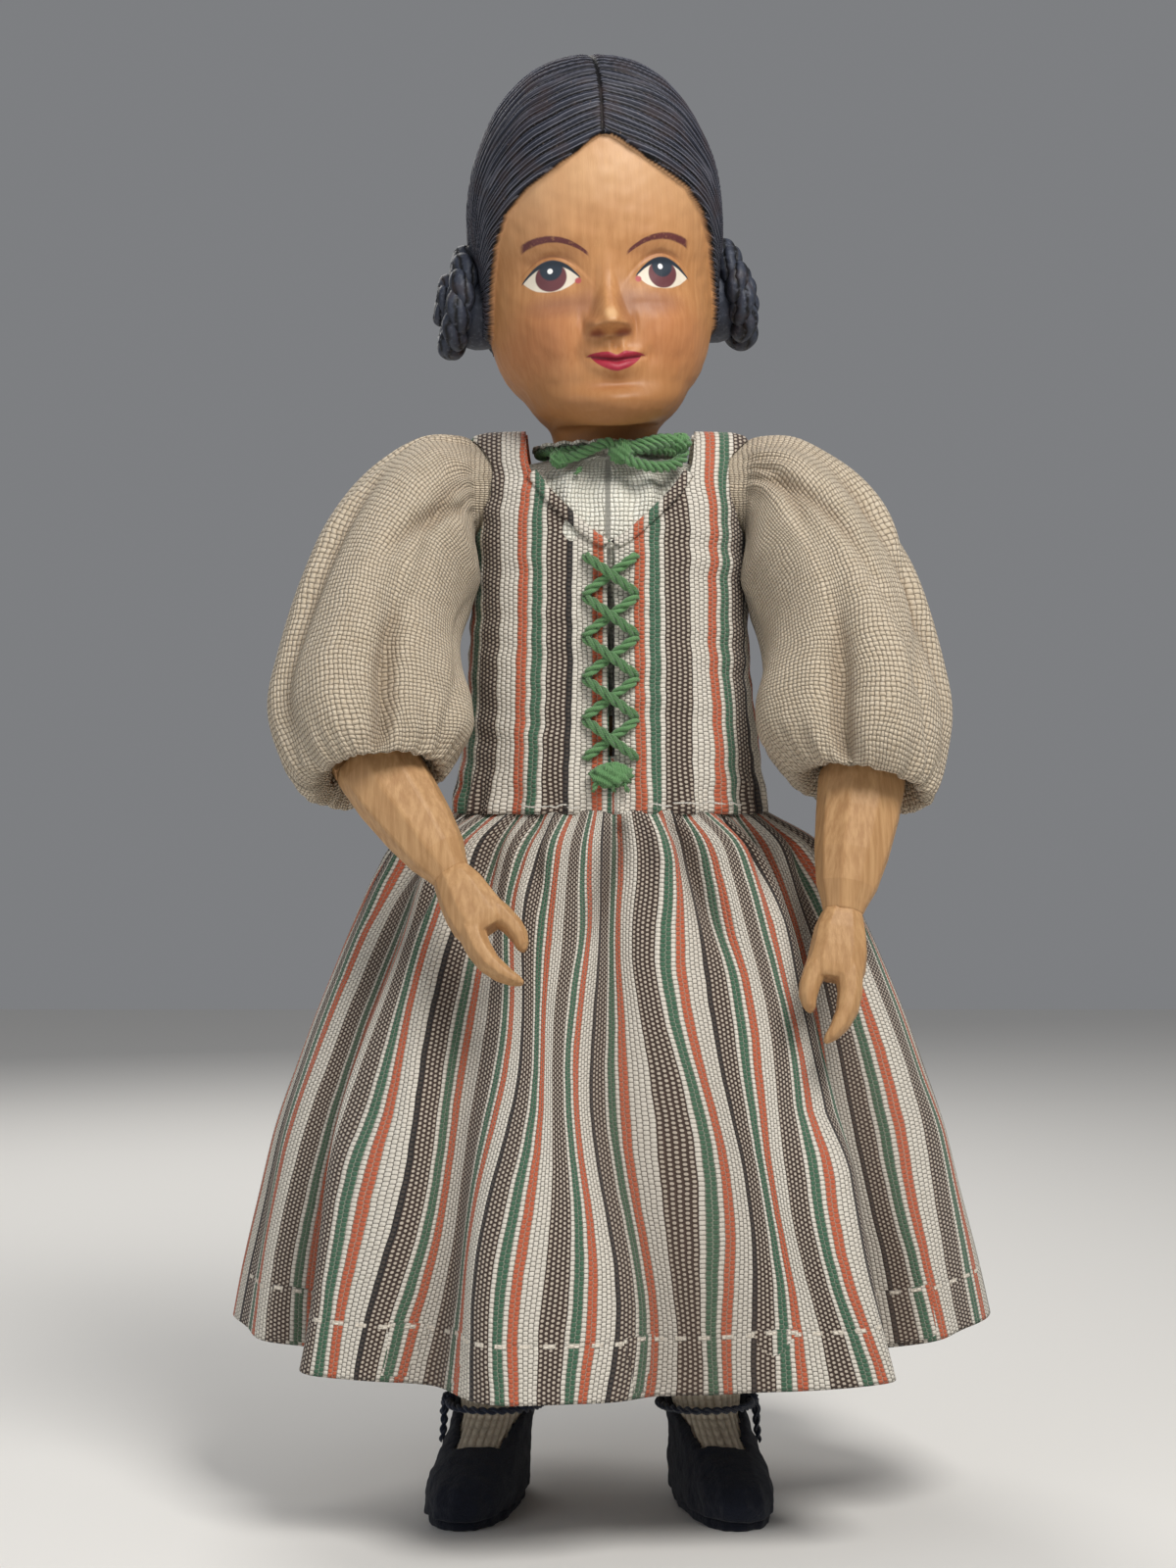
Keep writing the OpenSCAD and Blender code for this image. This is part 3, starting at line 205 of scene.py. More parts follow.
# Reach and height shares from the neck's foot to the crown, of the front, the side and the back
FRONT_SHARES = [
    (0.37, -0.11), (0.37, -0.03), (0.43, 0.02), (0.64, 0.005), (0.79, 0), (0.905, 0.02), (0.955, 0.055),
    (0.965, 0.1), (0.96, 0.15), (0.975, 0.2), (0.98, 0.25), (0.965, 0.3), (0.95, 0.355), (0.955, 0.41),
    (0.98, 0.47), (1, 0.53), (1, 0.6), (0.985, 0.67), (0.95, 0.74), (0.885, 0.81), (0.78, 0.87),
    (0.64, 0.92), (0.46, 0.96), (0.24, 0.987), (0.02, 1),
]
SIDE_SHARES = [
    (0.4, -0.11), (0.4, -0.03), (0.415, 0.01), (0.455, 0.03), (0.53, 0.052), (0.61, 0.078), (0.7, 0.108),
    (0.78, 0.14), (0.85, 0.18), (0.895, 0.225), (0.93, 0.28), (0.945, 0.335), (0.955, 0.385), (0.97, 0.43),
    (0.988, 0.48), (1, 0.535), (1, 0.59), (0.985, 0.65), (0.945, 0.71), (0.88, 0.77), (0.785, 0.835),
    (0.66, 0.895), (0.48, 0.95), (0.25, 0.985), (0.02, 1),
]
BACK_SHARES = [
    (0.37, -0.11), (0.37, -0.03), (0.4, 0.06), (0.43, 0.11), (0.5, 0.14), (0.6, 0.165), (0.69, 0.195),
    (0.77, 0.23), (0.84, 0.27), (0.895, 0.315), (0.935, 0.36), (0.965, 0.405), (0.985, 0.45), (1, 0.495),
    (1, 0.545), (0.995, 0.595), (0.975, 0.645), (0.94, 0.7), (0.89, 0.755), (0.82, 0.81), (0.72, 0.865),
    (0.59, 0.915), (0.42, 0.957), (0.22, 0.986), (0.02, 1),
]
# Places on the face: half distance to each side, and height over the chin
EYE, EYE_HALF_W, EYE_TOP, EYE_LOW = (9.1, 22.6), 4.4, 2.4, 1.9
NOSE_TIP_Z, NOSE_TOP_Z, NOSE_H = 15.3, 23.6, 4.0
MOUTH_Z, MOUTH_HALF_W, LIP_LOW_Z = 9.6, 5.0, 7.7
BROW_INNER, BROW_CREST_Z, BROW_OUTER = (3.1, 25.8), 28.4, (13.7, 27.6)
# How far the carver set the nose and the eyes to the doll's right of the mouth's middle
NOSE_ASIDE, EYES_ASIDE = 0.9, 0.5
# Hairline: half distance to the side, and height over the chin
HAIRLINE = [
    (0, 44.4), (2.2, 43.2), (6.3, 40.3), (12.7, 36.6), (15.7, 33.4), (17.4, 29.2), (18.1, 24), (18.6, 16),
    (19.5, 8),
]
HAIR_PEAK_Z, HAIR_LOW_BEHIND, HAIR_LOWER_THERE = 44, 5.2, 10.3
HAIR_STEP, STRANDS, COMB_DEPTH = 1.15, 46, 0.62
# Middle of the bun that the strands run to
BUN_PLACE = (20.4, 2.6, 22.6)


def mesh_piece(name, points, faces, smooth=True):
    """A mesh object from points in millimetres."""
    mesh = bpy.data.meshes.new(name)
    mesh.from_pydata([[float(c) * MM for c in p] for p in points], [], [list(map(int, f)) for f in faces])
    mesh.update()
    if smooth:
        mesh.polygons.foreach_set("use_smooth", [True] * len(mesh.polygons))
    piece = bpy.data.objects.new(name, mesh)
    bpy.context.scene.collection.objects.link(piece)
    return piece


def grid_faces(rows, columns, closed=True, first=0):
    """Quads between rows of points; the columns join up where the grid is closed."""
    faces = []
    for k in range(rows - 1):
        for i in range(columns if closed else columns - 1):
            j = (i + 1) % columns
            a = first + k * columns
            faces.append((a + i, a + j, a + columns + j, a + columns + i))
    return faces


def rings_piece(name, rings, closed=True, capped=False):
    """A surface through rings of points, with its ends closed by fans if capped."""
    rings = np.asarray(rings, float)
    rows, columns = rings.shape[:2]
    points = list(rings.reshape(-1, 3))
    faces = grid_faces(rows, columns, closed)
    if capped:
        for ring, flip in ((0, True), (rows - 1, False)):
            middle = len(points)
            points.append(rings[ring].mean(axis=0))
            for i in range(columns):
                a, b = ring * columns + i, ring * columns + (i + 1) % columns
                faces.append((b, a, middle) if flip else (a, b, middle))
    return mesh_piece(name, points, faces)


def set_places(piece, name, values):
    """Stores a vector on each point of a mesh for its material to read."""
    attribute = piece.data.attributes.new(name, "FLOAT_VECTOR", "POINT")
    attribute.data.foreach_set("vector", np.asarray(values, np.float32).ravel())


def curve(t, table):
    """A smooth curve through a table of (key, value), flat past its ends, for an array of t."""
    t = np.asarray(t, float)
    table = np.asarray(table, float)
    key, value = table[:, 0], table[:, 1]
    i = np.clip(np.searchsorted(key, t, side="left") - 1, 0, len(key) - 2)
    before, after = np.maximum(i - 1, 0), np.minimum(i + 2, len(key) - 1)
    h = key[i + 1] - key[i]
    u = np.clip((t - key[i]) / h, 0, 1)
    slope_a = (value[i + 1] - value[before]) / (key[i + 1] - key[before]) * h
    slope_b = (value[after] - value[i]) / (key[after] - key[i]) * h
    return (
        (2 * u**3 - 3 * u**2 + 1) * value[i] + (u**3 - 2 * u**2 + u) * slope_a
        + (3 * u**2 - 2 * u**3) * value[i + 1] + (u**3 - u**2) * slope_b
    )


def power(v, p):
    return np.sign(v) * np.abs(v) ** p


def bump(u, width):
    return np.exp(-((np.asarray(u, float) / width) ** 2))


def smooth_step(u, low, high):
    t = np.clip((np.asarray(u, float) - low) / (high - low), 0, 1)
    return t * t * (3 - 2 * t)


def noise(places, scale, seed=0):
    """Smooth noise from -1 to 1 at an array of places, out of a few crossed waves."""
    waves = np.random.default_rng(seed)
    total = 0
    for k in range(9):
        direction = waves.normal(size=3)
        direction *= (0.6 + 0.9 * waves.random()) / (np.linalg.norm(direction) * scale)
        total = total + np.sin(places @ direction * 2 * np.pi + waves.random() * 6.28)
    return total / 4.5


def head_place(points):
    """From the head's own frame, chin at its origin, to its place on the neck."""
    turn, lean = math.radians(HEAD["turn"]), -math.radians(HEAD["lean"])
    about_y = np.array([[math.cos(lean), 0, math.sin(lean)], [0, 1, 0], [-math.sin(lean), 0, math.cos(lean)]])
    about_z = np.array([[math.cos(turn), -math.sin(turn), 0], [math.sin(turn), math.cos(turn), 0], [0, 0, 1]])
    moved = (np.asarray(points) + [0, 0, CHIN_Z - NECK_PIVOT_Z]) @ (about_z @ about_y).T
    return moved + [0, 0, NECK_PIVOT_Z]


def face_relief(x, z):
    """What the carver leaves standing on the face, in millimetres, over a plain egg shape."""
    side, by_eye, nose_x = np.abs(x), np.abs(x + EYES_ASIDE), np.abs(x + NOSE_ASIDE)
    along = np.clip((NOSE_TOP_Z - z) / (NOSE_TOP_Z - NOSE_TIP_Z), 0, 1)
    rise = NOSE_H * (0.1 + 0.9 * along**1.6) * smooth_step(z, NOSE_TOP_Z + 5, NOSE_TOP_Z - 1)
    under = smooth_step(z, NOSE_TIP_Z - 2.1, NOSE_TIP_Z - 0.5)
    half = 1.9 + 2.1 * along**1.8
    nose = rise * under * (1 - smooth_step(nose_x / half, 0.1, 1.0))
    wings = 1.5 * bump(nose_x - 2.9, 1.05) * bump(z - NOSE_TIP_Z + 0.75, 1.15)
    wings = wings - 0.45 * bump(nose_x - 4.3, 0.5) * bump(z - NOSE_TIP_Z + 0.4, 1.5)
    philtrum = (0.3 * bump(side - 1.15, 0.5) - 0.3 * bump(x, 0.6)) * bump(z - 11.5, 1.1)
    line = MOUTH_Z + 0.45 * (side / MOUTH_HALF_W) ** 2 - 0.25 * bump(x, 1.1)
    taper = np.clip(1 - (side / (MOUTH_HALF_W + 0.2)) ** 2, 0, 1)
    lips = 0.9 * taper * bump(z - line - 0.7, 0.85) + 1.0 * taper**1.6 * bump(z - line + 1.2, 1.05)
    lips = lips - 0.6 * np.sqrt(taper) * bump(z - line, 0.3) + 0.5 * bump(x, 4.6) * bump(z - MOUTH_Z, 3.2)
    corner = -0.35 * bump(side - MOUTH_HALF_W - 0.8, 0.9) * bump(z - MOUTH_Z - 0.5, 1.3)
    under_lip = -0.55 * bump(x, 3.4) * bump(z - 5.7, 1.0)
    chin = 1.1 * bump(x, 4.4) * bump(z - 2.9, 2.3)
    socket = -1.35 * bump(by_eye - EYE[0] + 0.6, 4.6) * bump(z - EYE[1] - 0.4, 3.3)
    ball = 1.0 * bump(by_eye - EYE[0], 3.3) * bump(z - EYE[1] - 0.2, 2.2)
    lid = EYE[1] + EYE_TOP * (1 - ((by_eye - EYE[0]) / (EYE_HALF_W + 0.4)) ** 2)
    near_eye = bump(by_eye - EYE[0], 3.9)
    fold = -0.42 * near_eye * bump(z - lid - 1.15, 0.34) + 0.26 * near_eye * bump(z - lid - 0.4, 0.42)
    bag = -0.16 * bump(by_eye - EYE[0] + 1.5, 3.2) * bump(z - EYE[1] + 4.4, 0.7)
    brow = 0.45 * bump(side - 8.4, 5.5) * bump(z - 28.4, 2.0)
    cheek = 0.8 * bump(side - 9.8, 4.6) * bump(z - 13.3, 4.6)
    crease = -0.2 * bump(side - 6.2 - (13 - z) * 0.18, 0.8) * bump(z - 11.5, 3.0)
    return (
        nose + wings + philtrum + lips + corner + under_lip + chin + socket + ball + fold + bag + brow
        + cheek + crease
    )


def hairline_distance(x, z):
    """Distance over the hairline, less than 0 on the face's side, in the face's front view."""
    line = np.array(HAIRLINE)
    fine = np.stack([np.linspace(0, 1, 240)] * 2, axis=1)
    keys = np.linspace(0, 1, len(line))
    fine = np.stack([np.interp(fine[:, 0], keys, line[:, k]) for k in (0, 1)], axis=1)
    side = np.abs(x).ravel()
    best, sign = np.full(side.shape, 1e9), np.zeros(side.shape)
    for k in range(len(fine) - 1):
        a, b = fine[k], fine[k + 1]
        d = b - a
        t = np.clip(((side - a[0]) * d[0] + (z.ravel() - a[1]) * d[1]) / (d @ d), 0, 1)
        px, pz = side - a[0] - t * d[0], z.ravel() - a[1] - t * d[1]
        away = np.hypot(px, pz)
        nearer = away < best
        best = np.where(nearer, away, best)
        sign = np.where(nearer, np.sign(d[0] * pz - d[1] * px), sign)
    return (best * sign).reshape(x.shape)


def combed(points):
    """Ridges between the comb's grooves, 0 in a groove and 1 on a ridge, and the strand's place."""
    x, y, z = points[..., 0], points[..., 1], points[..., 2]
    unit = np.stack([np.abs(x), y, z - SKULL_Z], axis=-1)
    unit /= np.linalg.norm(unit, axis=-1, keepdims=True)
    bun = np.array([BUN_PLACE[0], BUN_PLACE[1], BUN_PLACE[2] - SKULL_Z])
    bun /= np.linalg.norm(bun)
    first = np.cross(bun, [0, 0, 1.0])
    first /= np.linalg.norm(first)
    second = np.cross(bun, first)
    turn = np.arctan2(unit @ second, unit @ first)
    reach = np.arccos(np.clip(unit @ bun, -1, 1))
    turn = turn + 0.05 * np.sin(3.1 * reach + 2 * turn) + 0.014 * noise(points / 9, 1, 3)
    turn = turn + 0.006 * np.sin(23 * turn) + np.where(x < 0, 0.021, 0)
    ridge = np.abs(np.sin(STRANDS * turn)) ** 0.6
    fine = np.cos(6 * STRANDS * turn + 1.3 * np.sin(5 * reach))
    return ridge, fine, reach, turn


def make_head():
    rows, columns = 330, 460
    level = np.linspace(0, len(FRONT_SHARES) - 1, rows)
    even = 2 * np.pi * np.arange(columns) / columns
    angle = even - 0.42 * np.sin(even)
    keys = np.arange(len(FRONT_SHARES))

    def share(table, part):
        return curve(level, [(k, row[part]) for k, row in zip(keys, table)])[:, None]

    weight = np.cos(angle) ** 2
    end_z = np.where(np.cos(angle) > 0, share(FRONT_SHARES, 1), share(BACK_SHARES, 1))
    z = (end_z * weight + share(SIDE_SHARES, 1) * (1 - weight)) * HEAD["height"]
    p = 2 / HEAD_SQUARE
    x = share(SIDE_SHARES, 0) * HEAD["width"] / 2 * power(np.sin(angle), p)
    front, back = share(FRONT_SHARES, 0) * HEAD["face"], share(BACK_SHARES, 0) * HEAD["nape"]
    y = (back - front) / 2 - (front + back) / 2 * power(np.cos(angle), p)
    points = np.stack([x, y, z], axis=-1)

    distance = hairline_distance(x, z)
    facing = np.cos(angle) > -0.1
    behind = np.abs(angle - np.pi) < 1.45
    distance = np.where(facing & (z < HAIR_PEAK_Z), distance, np.maximum(distance, 0.8 * behind))
    distance = np.where(facing & (z >= HAIR_PEAK_Z), 3.0, distance)
    lowest = HAIR_LOW_BEHIND + HAIR_LOWER_THERE * smooth_step(np.cos(angle), -0.8, -0.35)
    hair = smooth_step(distance, -0.12, 0.22) * smooth_step(z - lowest, 0, 1.2)
    away = np.stack([x, y, np.zeros_like(z)], axis=-1)
    away /= np.maximum(np.linalg.norm(away, axis=-1, keepdims=True), 1e-6)

    # The skin lies under the hair, with the face's relief facing forwards
    skin_in = smooth_step(z, 3.0, 7.0)
    points = points - away * (HAIR_STEP * (1 - hair) * skin_in)[..., None]
    relief = face_relief(x, z) * smooth_step(np.cos(angle), 0.1, 0.42) * (1 - hair)
    points[..., 1] -= relief

    # Grooves of the combed hair, and the parting
    normal = np.stack([x, y, (z - SKULL_Z) * 0.9], axis=-1)
    normal /= np.linalg.norm(normal, axis=-1, keepdims=True)
    ridge, fine, reach, turn = combed(points)
    away_from_parting = np.abs(x + 0.35 + 0.25 * np.sin(z / 5))
    calm = smooth_step(away_from_parting, 0.1, 1.2)
    depth = COMB_DEPTH * (ridge - 0.75) * calm + 0.05 * fine * calm
    parting = -0.3 * bump(away_from_parting, 0.35) * (z > 30)
    carved = 0.1 * noise(points, 7, 5) + 0.05 * noise(points, 3, 6)
    points = points + normal * (hair * (depth + parting))[..., None]
    points = points + normal * (carved * (1 - 0.5 * hair) * (z > 2))[..., None]

    over_line = np.clip(np.minimum(distance, z - lowest), -3, 3)
    face = np.stack([x, z, over_line], axis=-1)
    shown = hair * (0.3 + 0.7 * smooth_step(away_from_parting, 0.1, 0.5))
    comb = np.stack([turn, reach, ridge * shown], axis=-1)
    points[..., 2] = np.maximum(points[..., 2], NECK_TOP_Z - CHIN_Z + 0.4)
    placed = head_place(points.reshape(-1, 3)).reshape(points.shape)
    head = rings_piece("carved_head", placed, capped=True)
    extra = [[0, 0, -3], [0, 61, 3]]
    set_places(head, "face", np.concatenate([face.reshape(-1, 3), extra]))
    set_places(head, "comb", np.concatenate([comb.reshape(-1, 3), [[0, 0, 0]] * 2]))
    head.data.materials.append(material("painted_head", head_paint))
    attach(head, "head")
    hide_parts("head")


def axes(node):
    """The three parts of a vector."""
    split = Node.tree.nodes.new("ShaderNodeSeparateXYZ")
    Node.put(split.inputs[0], node)
    return [Node(o) for o in split.outputs]


def vector(x, y, z):
    made = Node.tree.nodes.new("ShaderNodeCombineXYZ")
    for socket, value in zip(made.inputs, (x, y, z)):
        Node.put(socket, value)
    return Node(made.outputs[0])


def stored(name):
    """A vector that a mesh holds on its points."""
    made = Node.tree.nodes.new("ShaderNodeAttribute")
    made.attribute_name = name
    return Node(made.outputs["Vector"])


def wave(value, period):
    """A sine of that period, from 0 to 1."""
    return Node.math("SINE", value * (2 * math.pi / period)) * 0.5 + 0.5


def ellipse(x, z, centre, half_w, half_h, soft=0.12):
    """1 inside an ellipse on the face and 0 outside, with a soft painted edge."""
    away = Node.math("SQRT", ((x - centre[0]) / half_w) ** 2 + ((z - centre[1]) / half_h) ** 2)
    return step(away, 1 + soft, 1 - soft)


def stroke(value, thickness, soft=0.1):
    """A brush stroke along the line where value is 0."""
    return step(Node.math("ABSOLUTE", value), thickness / 2 + soft, thickness / 2 - soft)


def head_paint():
    place = object_place()
    face_x, z, over_line = axes(stored("face"))
    hair_turn, reach, ridge = axes(stored("comb"))
    wobble = (cloud(place, 1.3, 2) - 0.5) * 0.28
    x, nose_x = Node.math("ABSOLUTE", face_x), Node.math("ABSOLUTE", face_x + NOSE_ASIDE)
    skin, grain = wood_look(tone(176, 122, 74), tone(202, 150, 100))
    # Painted highlight: lighter on the forehead, where the light from above falls
    skin = mix(step(z, 25, 40) * 0.5, skin, tone(224, 188, 146))
    skin = mix(cloud(place, 5, 3) * 0.4, skin, tone(164, 106, 60))
    # Painted shade: darker down towards the chin
    skin = mix(step(z, 13, 2) * 0.7, skin, tone(152, 102, 58))
    # Patches: the rosy cheeks are the doll's paint, and the red-brown nostrils are partly its paint and
    # partly painted shade. The darker patches under the eyes, beside the nose, under the lower lip and over
    # the eye sockets are painted shade, and the light spot on the nose tip is a painted highlight.
    for centre, w, h, amount, shade in (
        ((10.4, 13.4), 6.0, 5.0, 0.3, tone(178, 96, 60)), ((7.4, 18.4), 4.4, 1.7, 0.5, tone(130, 84, 70)),
        ((3.2, 17.8), 1.6, 3.6, 0.45, tone(130, 82, 58)), ((2.1, 13.5), 1.2, 0.45, 0.8, tone(116, 50, 38)),
        ((0.0, 5.6), 3.6, 0.8, 0.4, tone(146, 88, 48)), ((8.6, 25.9), 4.6, 0.9, 0.3, tone(146, 94, 62)),
        ((0.0, 16.1), 0.9, 0.9, 0.6, tone(226, 188, 140)),
    ):
        skin = mix(ellipse(nose_x, z, centre, w, h, 0.7) * amount, skin, shade)

    # Eyes: cream white, plum iris, and a slate upper lid with the pupil hanging from it
    ex, ez = EYE
    slate_paint = tone(40, 50, 62)
    by_eye = Node.math("ABSOLUTE", face_x + EYES_ASIDE)
    across = (by_eye - ex) / EYE_HALF_W
    lid = EYE_TOP * (1 - across * across) + ez + wobble * 0.3
    lower = ez - EYE_LOW * (1 - Node.math("ABSOLUTE", across) ** 2.6) + wobble * 0.9
    off_middle = Node.math("ABSOLUTE", across)
    inside = step(lid - z, -0.08, 0.12) * step(z - lower, -0.1, 0.15) * step(off_middle, 1.0, 0.95)
    white = mix(cloud(place, 2.5, 2), tone(216, 204, 184), tone(234, 224, 206))
    eye = mix(ellipse(by_eye, z, (ex, ez + 0.35), 2.45, 2.2, 0.05), white, tone(104, 58, 62))
    eye = mix(ellipse(by_eye, z, (ex - 0.05, ez + 1.6), 1.75, 1.75, 0.08), eye, slate_paint)
    skin = mix(inside, skin, eye)
    corner = ellipse(by_eye, z, (ex - EYE_HALF_W + 0.2, ez - 0.55), 0.5, 0.45, 0.3)
    skin = mix(corner, skin, tone(178, 84, 84))
    upper = stroke((z - lid - 0.1) / (1.25 - 0.75 * across * across), 0.62) * step(off_middle, 1.08, 0.98)
    skin = mix(upper, skin, slate_paint)
    # A darker line in the lid's crease: painted shade
    crease = stroke(z - lid - 1.15, 0.2, 0.2) * step(off_middle, 1.15, 0.7)
    skin = mix(crease * 0.55, skin, tone(140, 86, 54))
    for glint in ((-ex - 0.6, ez + 1.3), (ex - 0.85, ez + 1.45)):
        skin = mix(ellipse(face_x, z, glint, 0.42, 0.42, 0.15), skin, tone(240, 240, 238))

    # Brows: one stroke each, broadest at the outer end
    (x0, z0), (x1, z1) = BROW_INNER, BROW_OUTER
    part = (by_eye - x0) / (x1 - x0)
    hump = Node.math("MAXIMUM", part * (1 - part) * 4, 0.0)
    arch = z0 + (z1 - z0) * part + (BROW_CREST_Z - (z0 + z1) / 2) * hump ** 0.9
    brow = stroke((z - arch + wobble * 0.45) / (0.55 + 0.75 * part), 1.0, 0.15)
    brow = brow * step(part, -0.02, 0.05) * step(part, 1.02, 0.95)
    dry_brush = step(cloud(place, 0.5, 2), 0.25, 0.5) * 0.35 + 0.62
    skin = mix(brow * dry_brush, skin, tone(92, 42, 46))

    # Lips: a bow above a shorter, fuller lower lip
    arc = Node.math("MAXIMUM", 1 - (face_x / MOUTH_HALF_W) ** 2, 0.0)
    low_arc = Node.math("MAXIMUM", 1 - (face_x / (MOUTH_HALF_W - 0.9)) ** 2, 0.0)
    dip = step(x, 1.5, 0) * 0.45
    smile = x * 0.1
    top = 1.1 * arc ** 0.6 + MOUTH_Z - dip + smile * 0.6
    low = MOUTH_Z + smile - (MOUTH_Z - LIP_LOW_Z) * low_arc ** 0.8
    lips = step(top - z + wobble * 0.3, -0.1, 0.12) * step(z - low + wobble * 0.3, -0.1, 0.12)
    lips = lips * step(arc, 0.0, 0.06)
    red = mix(cloud(place, 0.7, 3), tone(140, 26, 44), tone(172, 40, 62))
    red = mix(stroke(z - MOUTH_Z - smile, 0.22, 0.15), red, tone(104, 22, 38))
    skin = mix(lips, skin, red)

    # Hair: slate blue, with painted shade nearly black in the grooves, and worn to the wood's brown in places
    strand = vector(hair_turn * 26, reach * 3, 0)
    streak_noise = cloud(strand, 1.0, 4)
    # Nearly black in the grooves: painted shade
    hair = mix(step(ridge, 0.5, 0.98), tone(4, 4, 7), tone(38, 41, 52))
    # Fine light lines and streaks along the ridges: painted highlights
    comb_line_highlight = step(wave(hair_turn + (streak_noise - 0.5) * 0.012, 0.0225), 0.72, 0.95) * step(ridge, 0.3, 0.7)
    hair = mix(comb_line_highlight * (0.4 + streak_noise * 0.5), hair, tone(122, 123, 134))
    hair = mix(step(streak_noise, 0.46, 0.76) * step(ridge, 0.6, 0.95) * 0.75, hair, tone(92, 91, 100))
    hair = mix(step(cloud(place, 4.5, 3), 0.45, 0.7) * 0.45, hair, tone(62, 49, 48))
    hair = mix(step(cloud(place, 0.6, 2), 0.66, 0.78) * 0.4, hair, tone(126, 112, 104))
    ragged = cloud(vector(hair_turn * 40, reach * 1.2, 0), 1.0, 3) - 0.5
    edge = step(over_line + ragged * 0.3, -0.12, 0.14)
    colour = mix(edge, skin, hair)
    knife = cloud(place, 3.2, 1) * 0.05
    return {
        "colour": colour, "rough": 0.46 + edge * 0.12 + cloud(place, 1.0, 2) * 0.08,
        "height": grain + knife + edge * streak_noise * 0.08,
        "more": {"Specular IOR Level": 0.42 - edge * 0.2},
    }


make_head()


# Buns: each is a plait of three strands coiled flat over the ear, with a smaller coil on top. They are
# carved from the head's own block, turn with it, and are painted with the hair.

BUN_TILT = math.radians(78)
# Coils: radius, strand crossings, spread, strand's half thickness, height, steps round
BUN_COILS = ((5.8, 4, 1.5, 2.25, 1.8, 150), (2.0, 2, 0.95, 1.7, 3.9, 70))
# Block behind the coils: radius and height
BUN_BLOCK = [(0.01, 3.4), (4.5, 2.0), (6.6, 0.6), (7.2, -2.0), (6.2, -4.6)]


def modifier(piece, kind, **settings):
    made = piece.modifiers.new(kind.title(), kind)
    for key, value in settings.items():
        setattr(made, key, value)
    return made


def braid(radius, periods, spread, fat, lift, steps):
    """Three strands crossing over each other along a circle; points, faces and strand places."""
    sides = 14
    points, faces, places = [], [], []
    turn = 2 * np.pi * np.arange(steps) / steps
    for strand in range(3):
        phase = periods * turn + 2 * np.pi * strand / 3
        reach = radius + spread * np.sin(phase)
        height = lift + 0.42 * spread * np.sin(2 * phase)
        middle = np.stack([reach * np.cos(turn), reach * np.sin(turn), height], axis=1)
        along = np.roll(middle, -1, axis=0) - np.roll(middle, 1, axis=0)
        along /= np.linalg.norm(along, axis=1, keepdims=True)
        side = np.cross([0, 0, 1.0], along)
        side /= np.linalg.norm(side, axis=1, keepdims=True)
        up = np.cross(along, side)
        around = 2 * np.pi * np.arange(sides) / sides
        lines = 1 - 0.07 * np.abs(np.sin(2.5 * around[None, :] + 0.8 * np.sin(phase)[:, None]))
        ring = (
            middle[:, None] + side[:, None] * (fat * lines * np.cos(around))[..., None]
            + up[:, None] * (0.82 * fat * lines * np.sin(around))[..., None]
        )
        start = len(points)
        last = start + (steps - 1) * sides
        faces += grid_faces(steps, sides, True, start)
        faces += [
            (last + i, last + (i + 1) % sides, start + (i + 1) % sides, start + i) for i in range(sides)
        ]
        points += list(ring.reshape(-1, 3))
        place = np.stack([
            np.broadcast_to(around[None, :], ring.shape[:2]),
            np.broadcast_to(turn[:, None], ring.shape[:2]) * radius,
            np.full(ring.shape[:2], float(strand + 3 * periods)),
        ], axis=-1)
        places += list(place.reshape(-1, 3))
    return points, faces, places


def make_bun(name, side):
    points, faces, places = [], [], []
    for coil in BUN_COILS:
        p, f, where = braid(*coil)
        faces += [tuple(len(points) + i for i in face) for face in f]
        points += p
        places += where
    start, around = len(points), 40
    for r, h in BUN_BLOCK:
        points += [[r * math.cos(2 * math.pi * i / around), r * math.sin(2 * math.pi * i / around), h]
                   for i in range(around)]
    places += [[0, 0, 0]] * (around * len(BUN_BLOCK))
    faces += grid_faces(len(BUN_BLOCK), around, True, start)
    points = np.array(points)
    tipped = np.stack([
        points[:, 0] * math.cos(BUN_TILT) + points[:, 2] * math.sin(BUN_TILT), points[:, 1],
        -points[:, 0] * math.sin(BUN_TILT) + points[:, 2] * math.cos(BUN_TILT),
    ], axis=1)
    placed = tipped + BUN_PLACE
    placed[:, 0] *= side
    bun = mesh_piece(name, head_place(placed), faces if side > 0 else [f[::-1] for f in faces])
    set_places(bun, "strand", places)
    modifier(bun, "SUBSURF", levels=1, render_levels=1)
    bun.data.materials.append(BUN_PAINT)
    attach(bun, "head")


def bun_paint():
    place = object_place()
    around, along, strand = axes(stored("strand"))
    lines = Node.math("ABSOLUTE", Node.math("SINE", around * 2.5 + along * 0.35 + cloud(place, 2.2, 1) * 2.2))
    # Darker in the fine grooves along each strand: painted shade
    colour = mix(step(lines, 0.15, 0.85), tone(12, 13, 18), tone(50, 55, 68))
    colour = mix(step(cloud(place, 0.6, 3), 0.5, 0.75) * 0.5, colour, tone(100, 104, 116))
    colour = mix(step(cloud(place, 3.5, 2), 0.55, 0.75) * 0.35, colour, tone(74, 60, 57))
    return {"colour": colour, "rough": 0.58, "height": lines * 0.3, "more": {"Specular IOR Level": 0.38}}


BUN_PAINT = material("painted_bun", bun_paint)
make_bun("bun_right", -1)
make_bun("bun_left", 1)


# Forearms: each is one whittled carving of linden wood with its mitten hand, a thumb beside four joined
# fingers. A flat tongue at its top sits in the fork of the upper arm and turns there on a pin.

SHOULDER_Z, ARM_DROP, ELBOW_X = 160.0, 40.4, 40.3
# Degrees at rest: the arm forward of straight down, and the forearm in towards the body
SWING = {-1: 24.0, 1: 20.0}
BENT = {-1: 32.8, 1: 9.9}
FOREARM_W, FOREARM_T, ELBOW_SEAT, FOREARM_LEN = 13.2, 11.6, 6.9, 23.5
TONGUE_HALF_W, TONGUE_HALF_T, PALM_LEN = 6.3, 2, 9.8
WRIST_Z = -ELBOW_SEAT - FOREARM_LEN
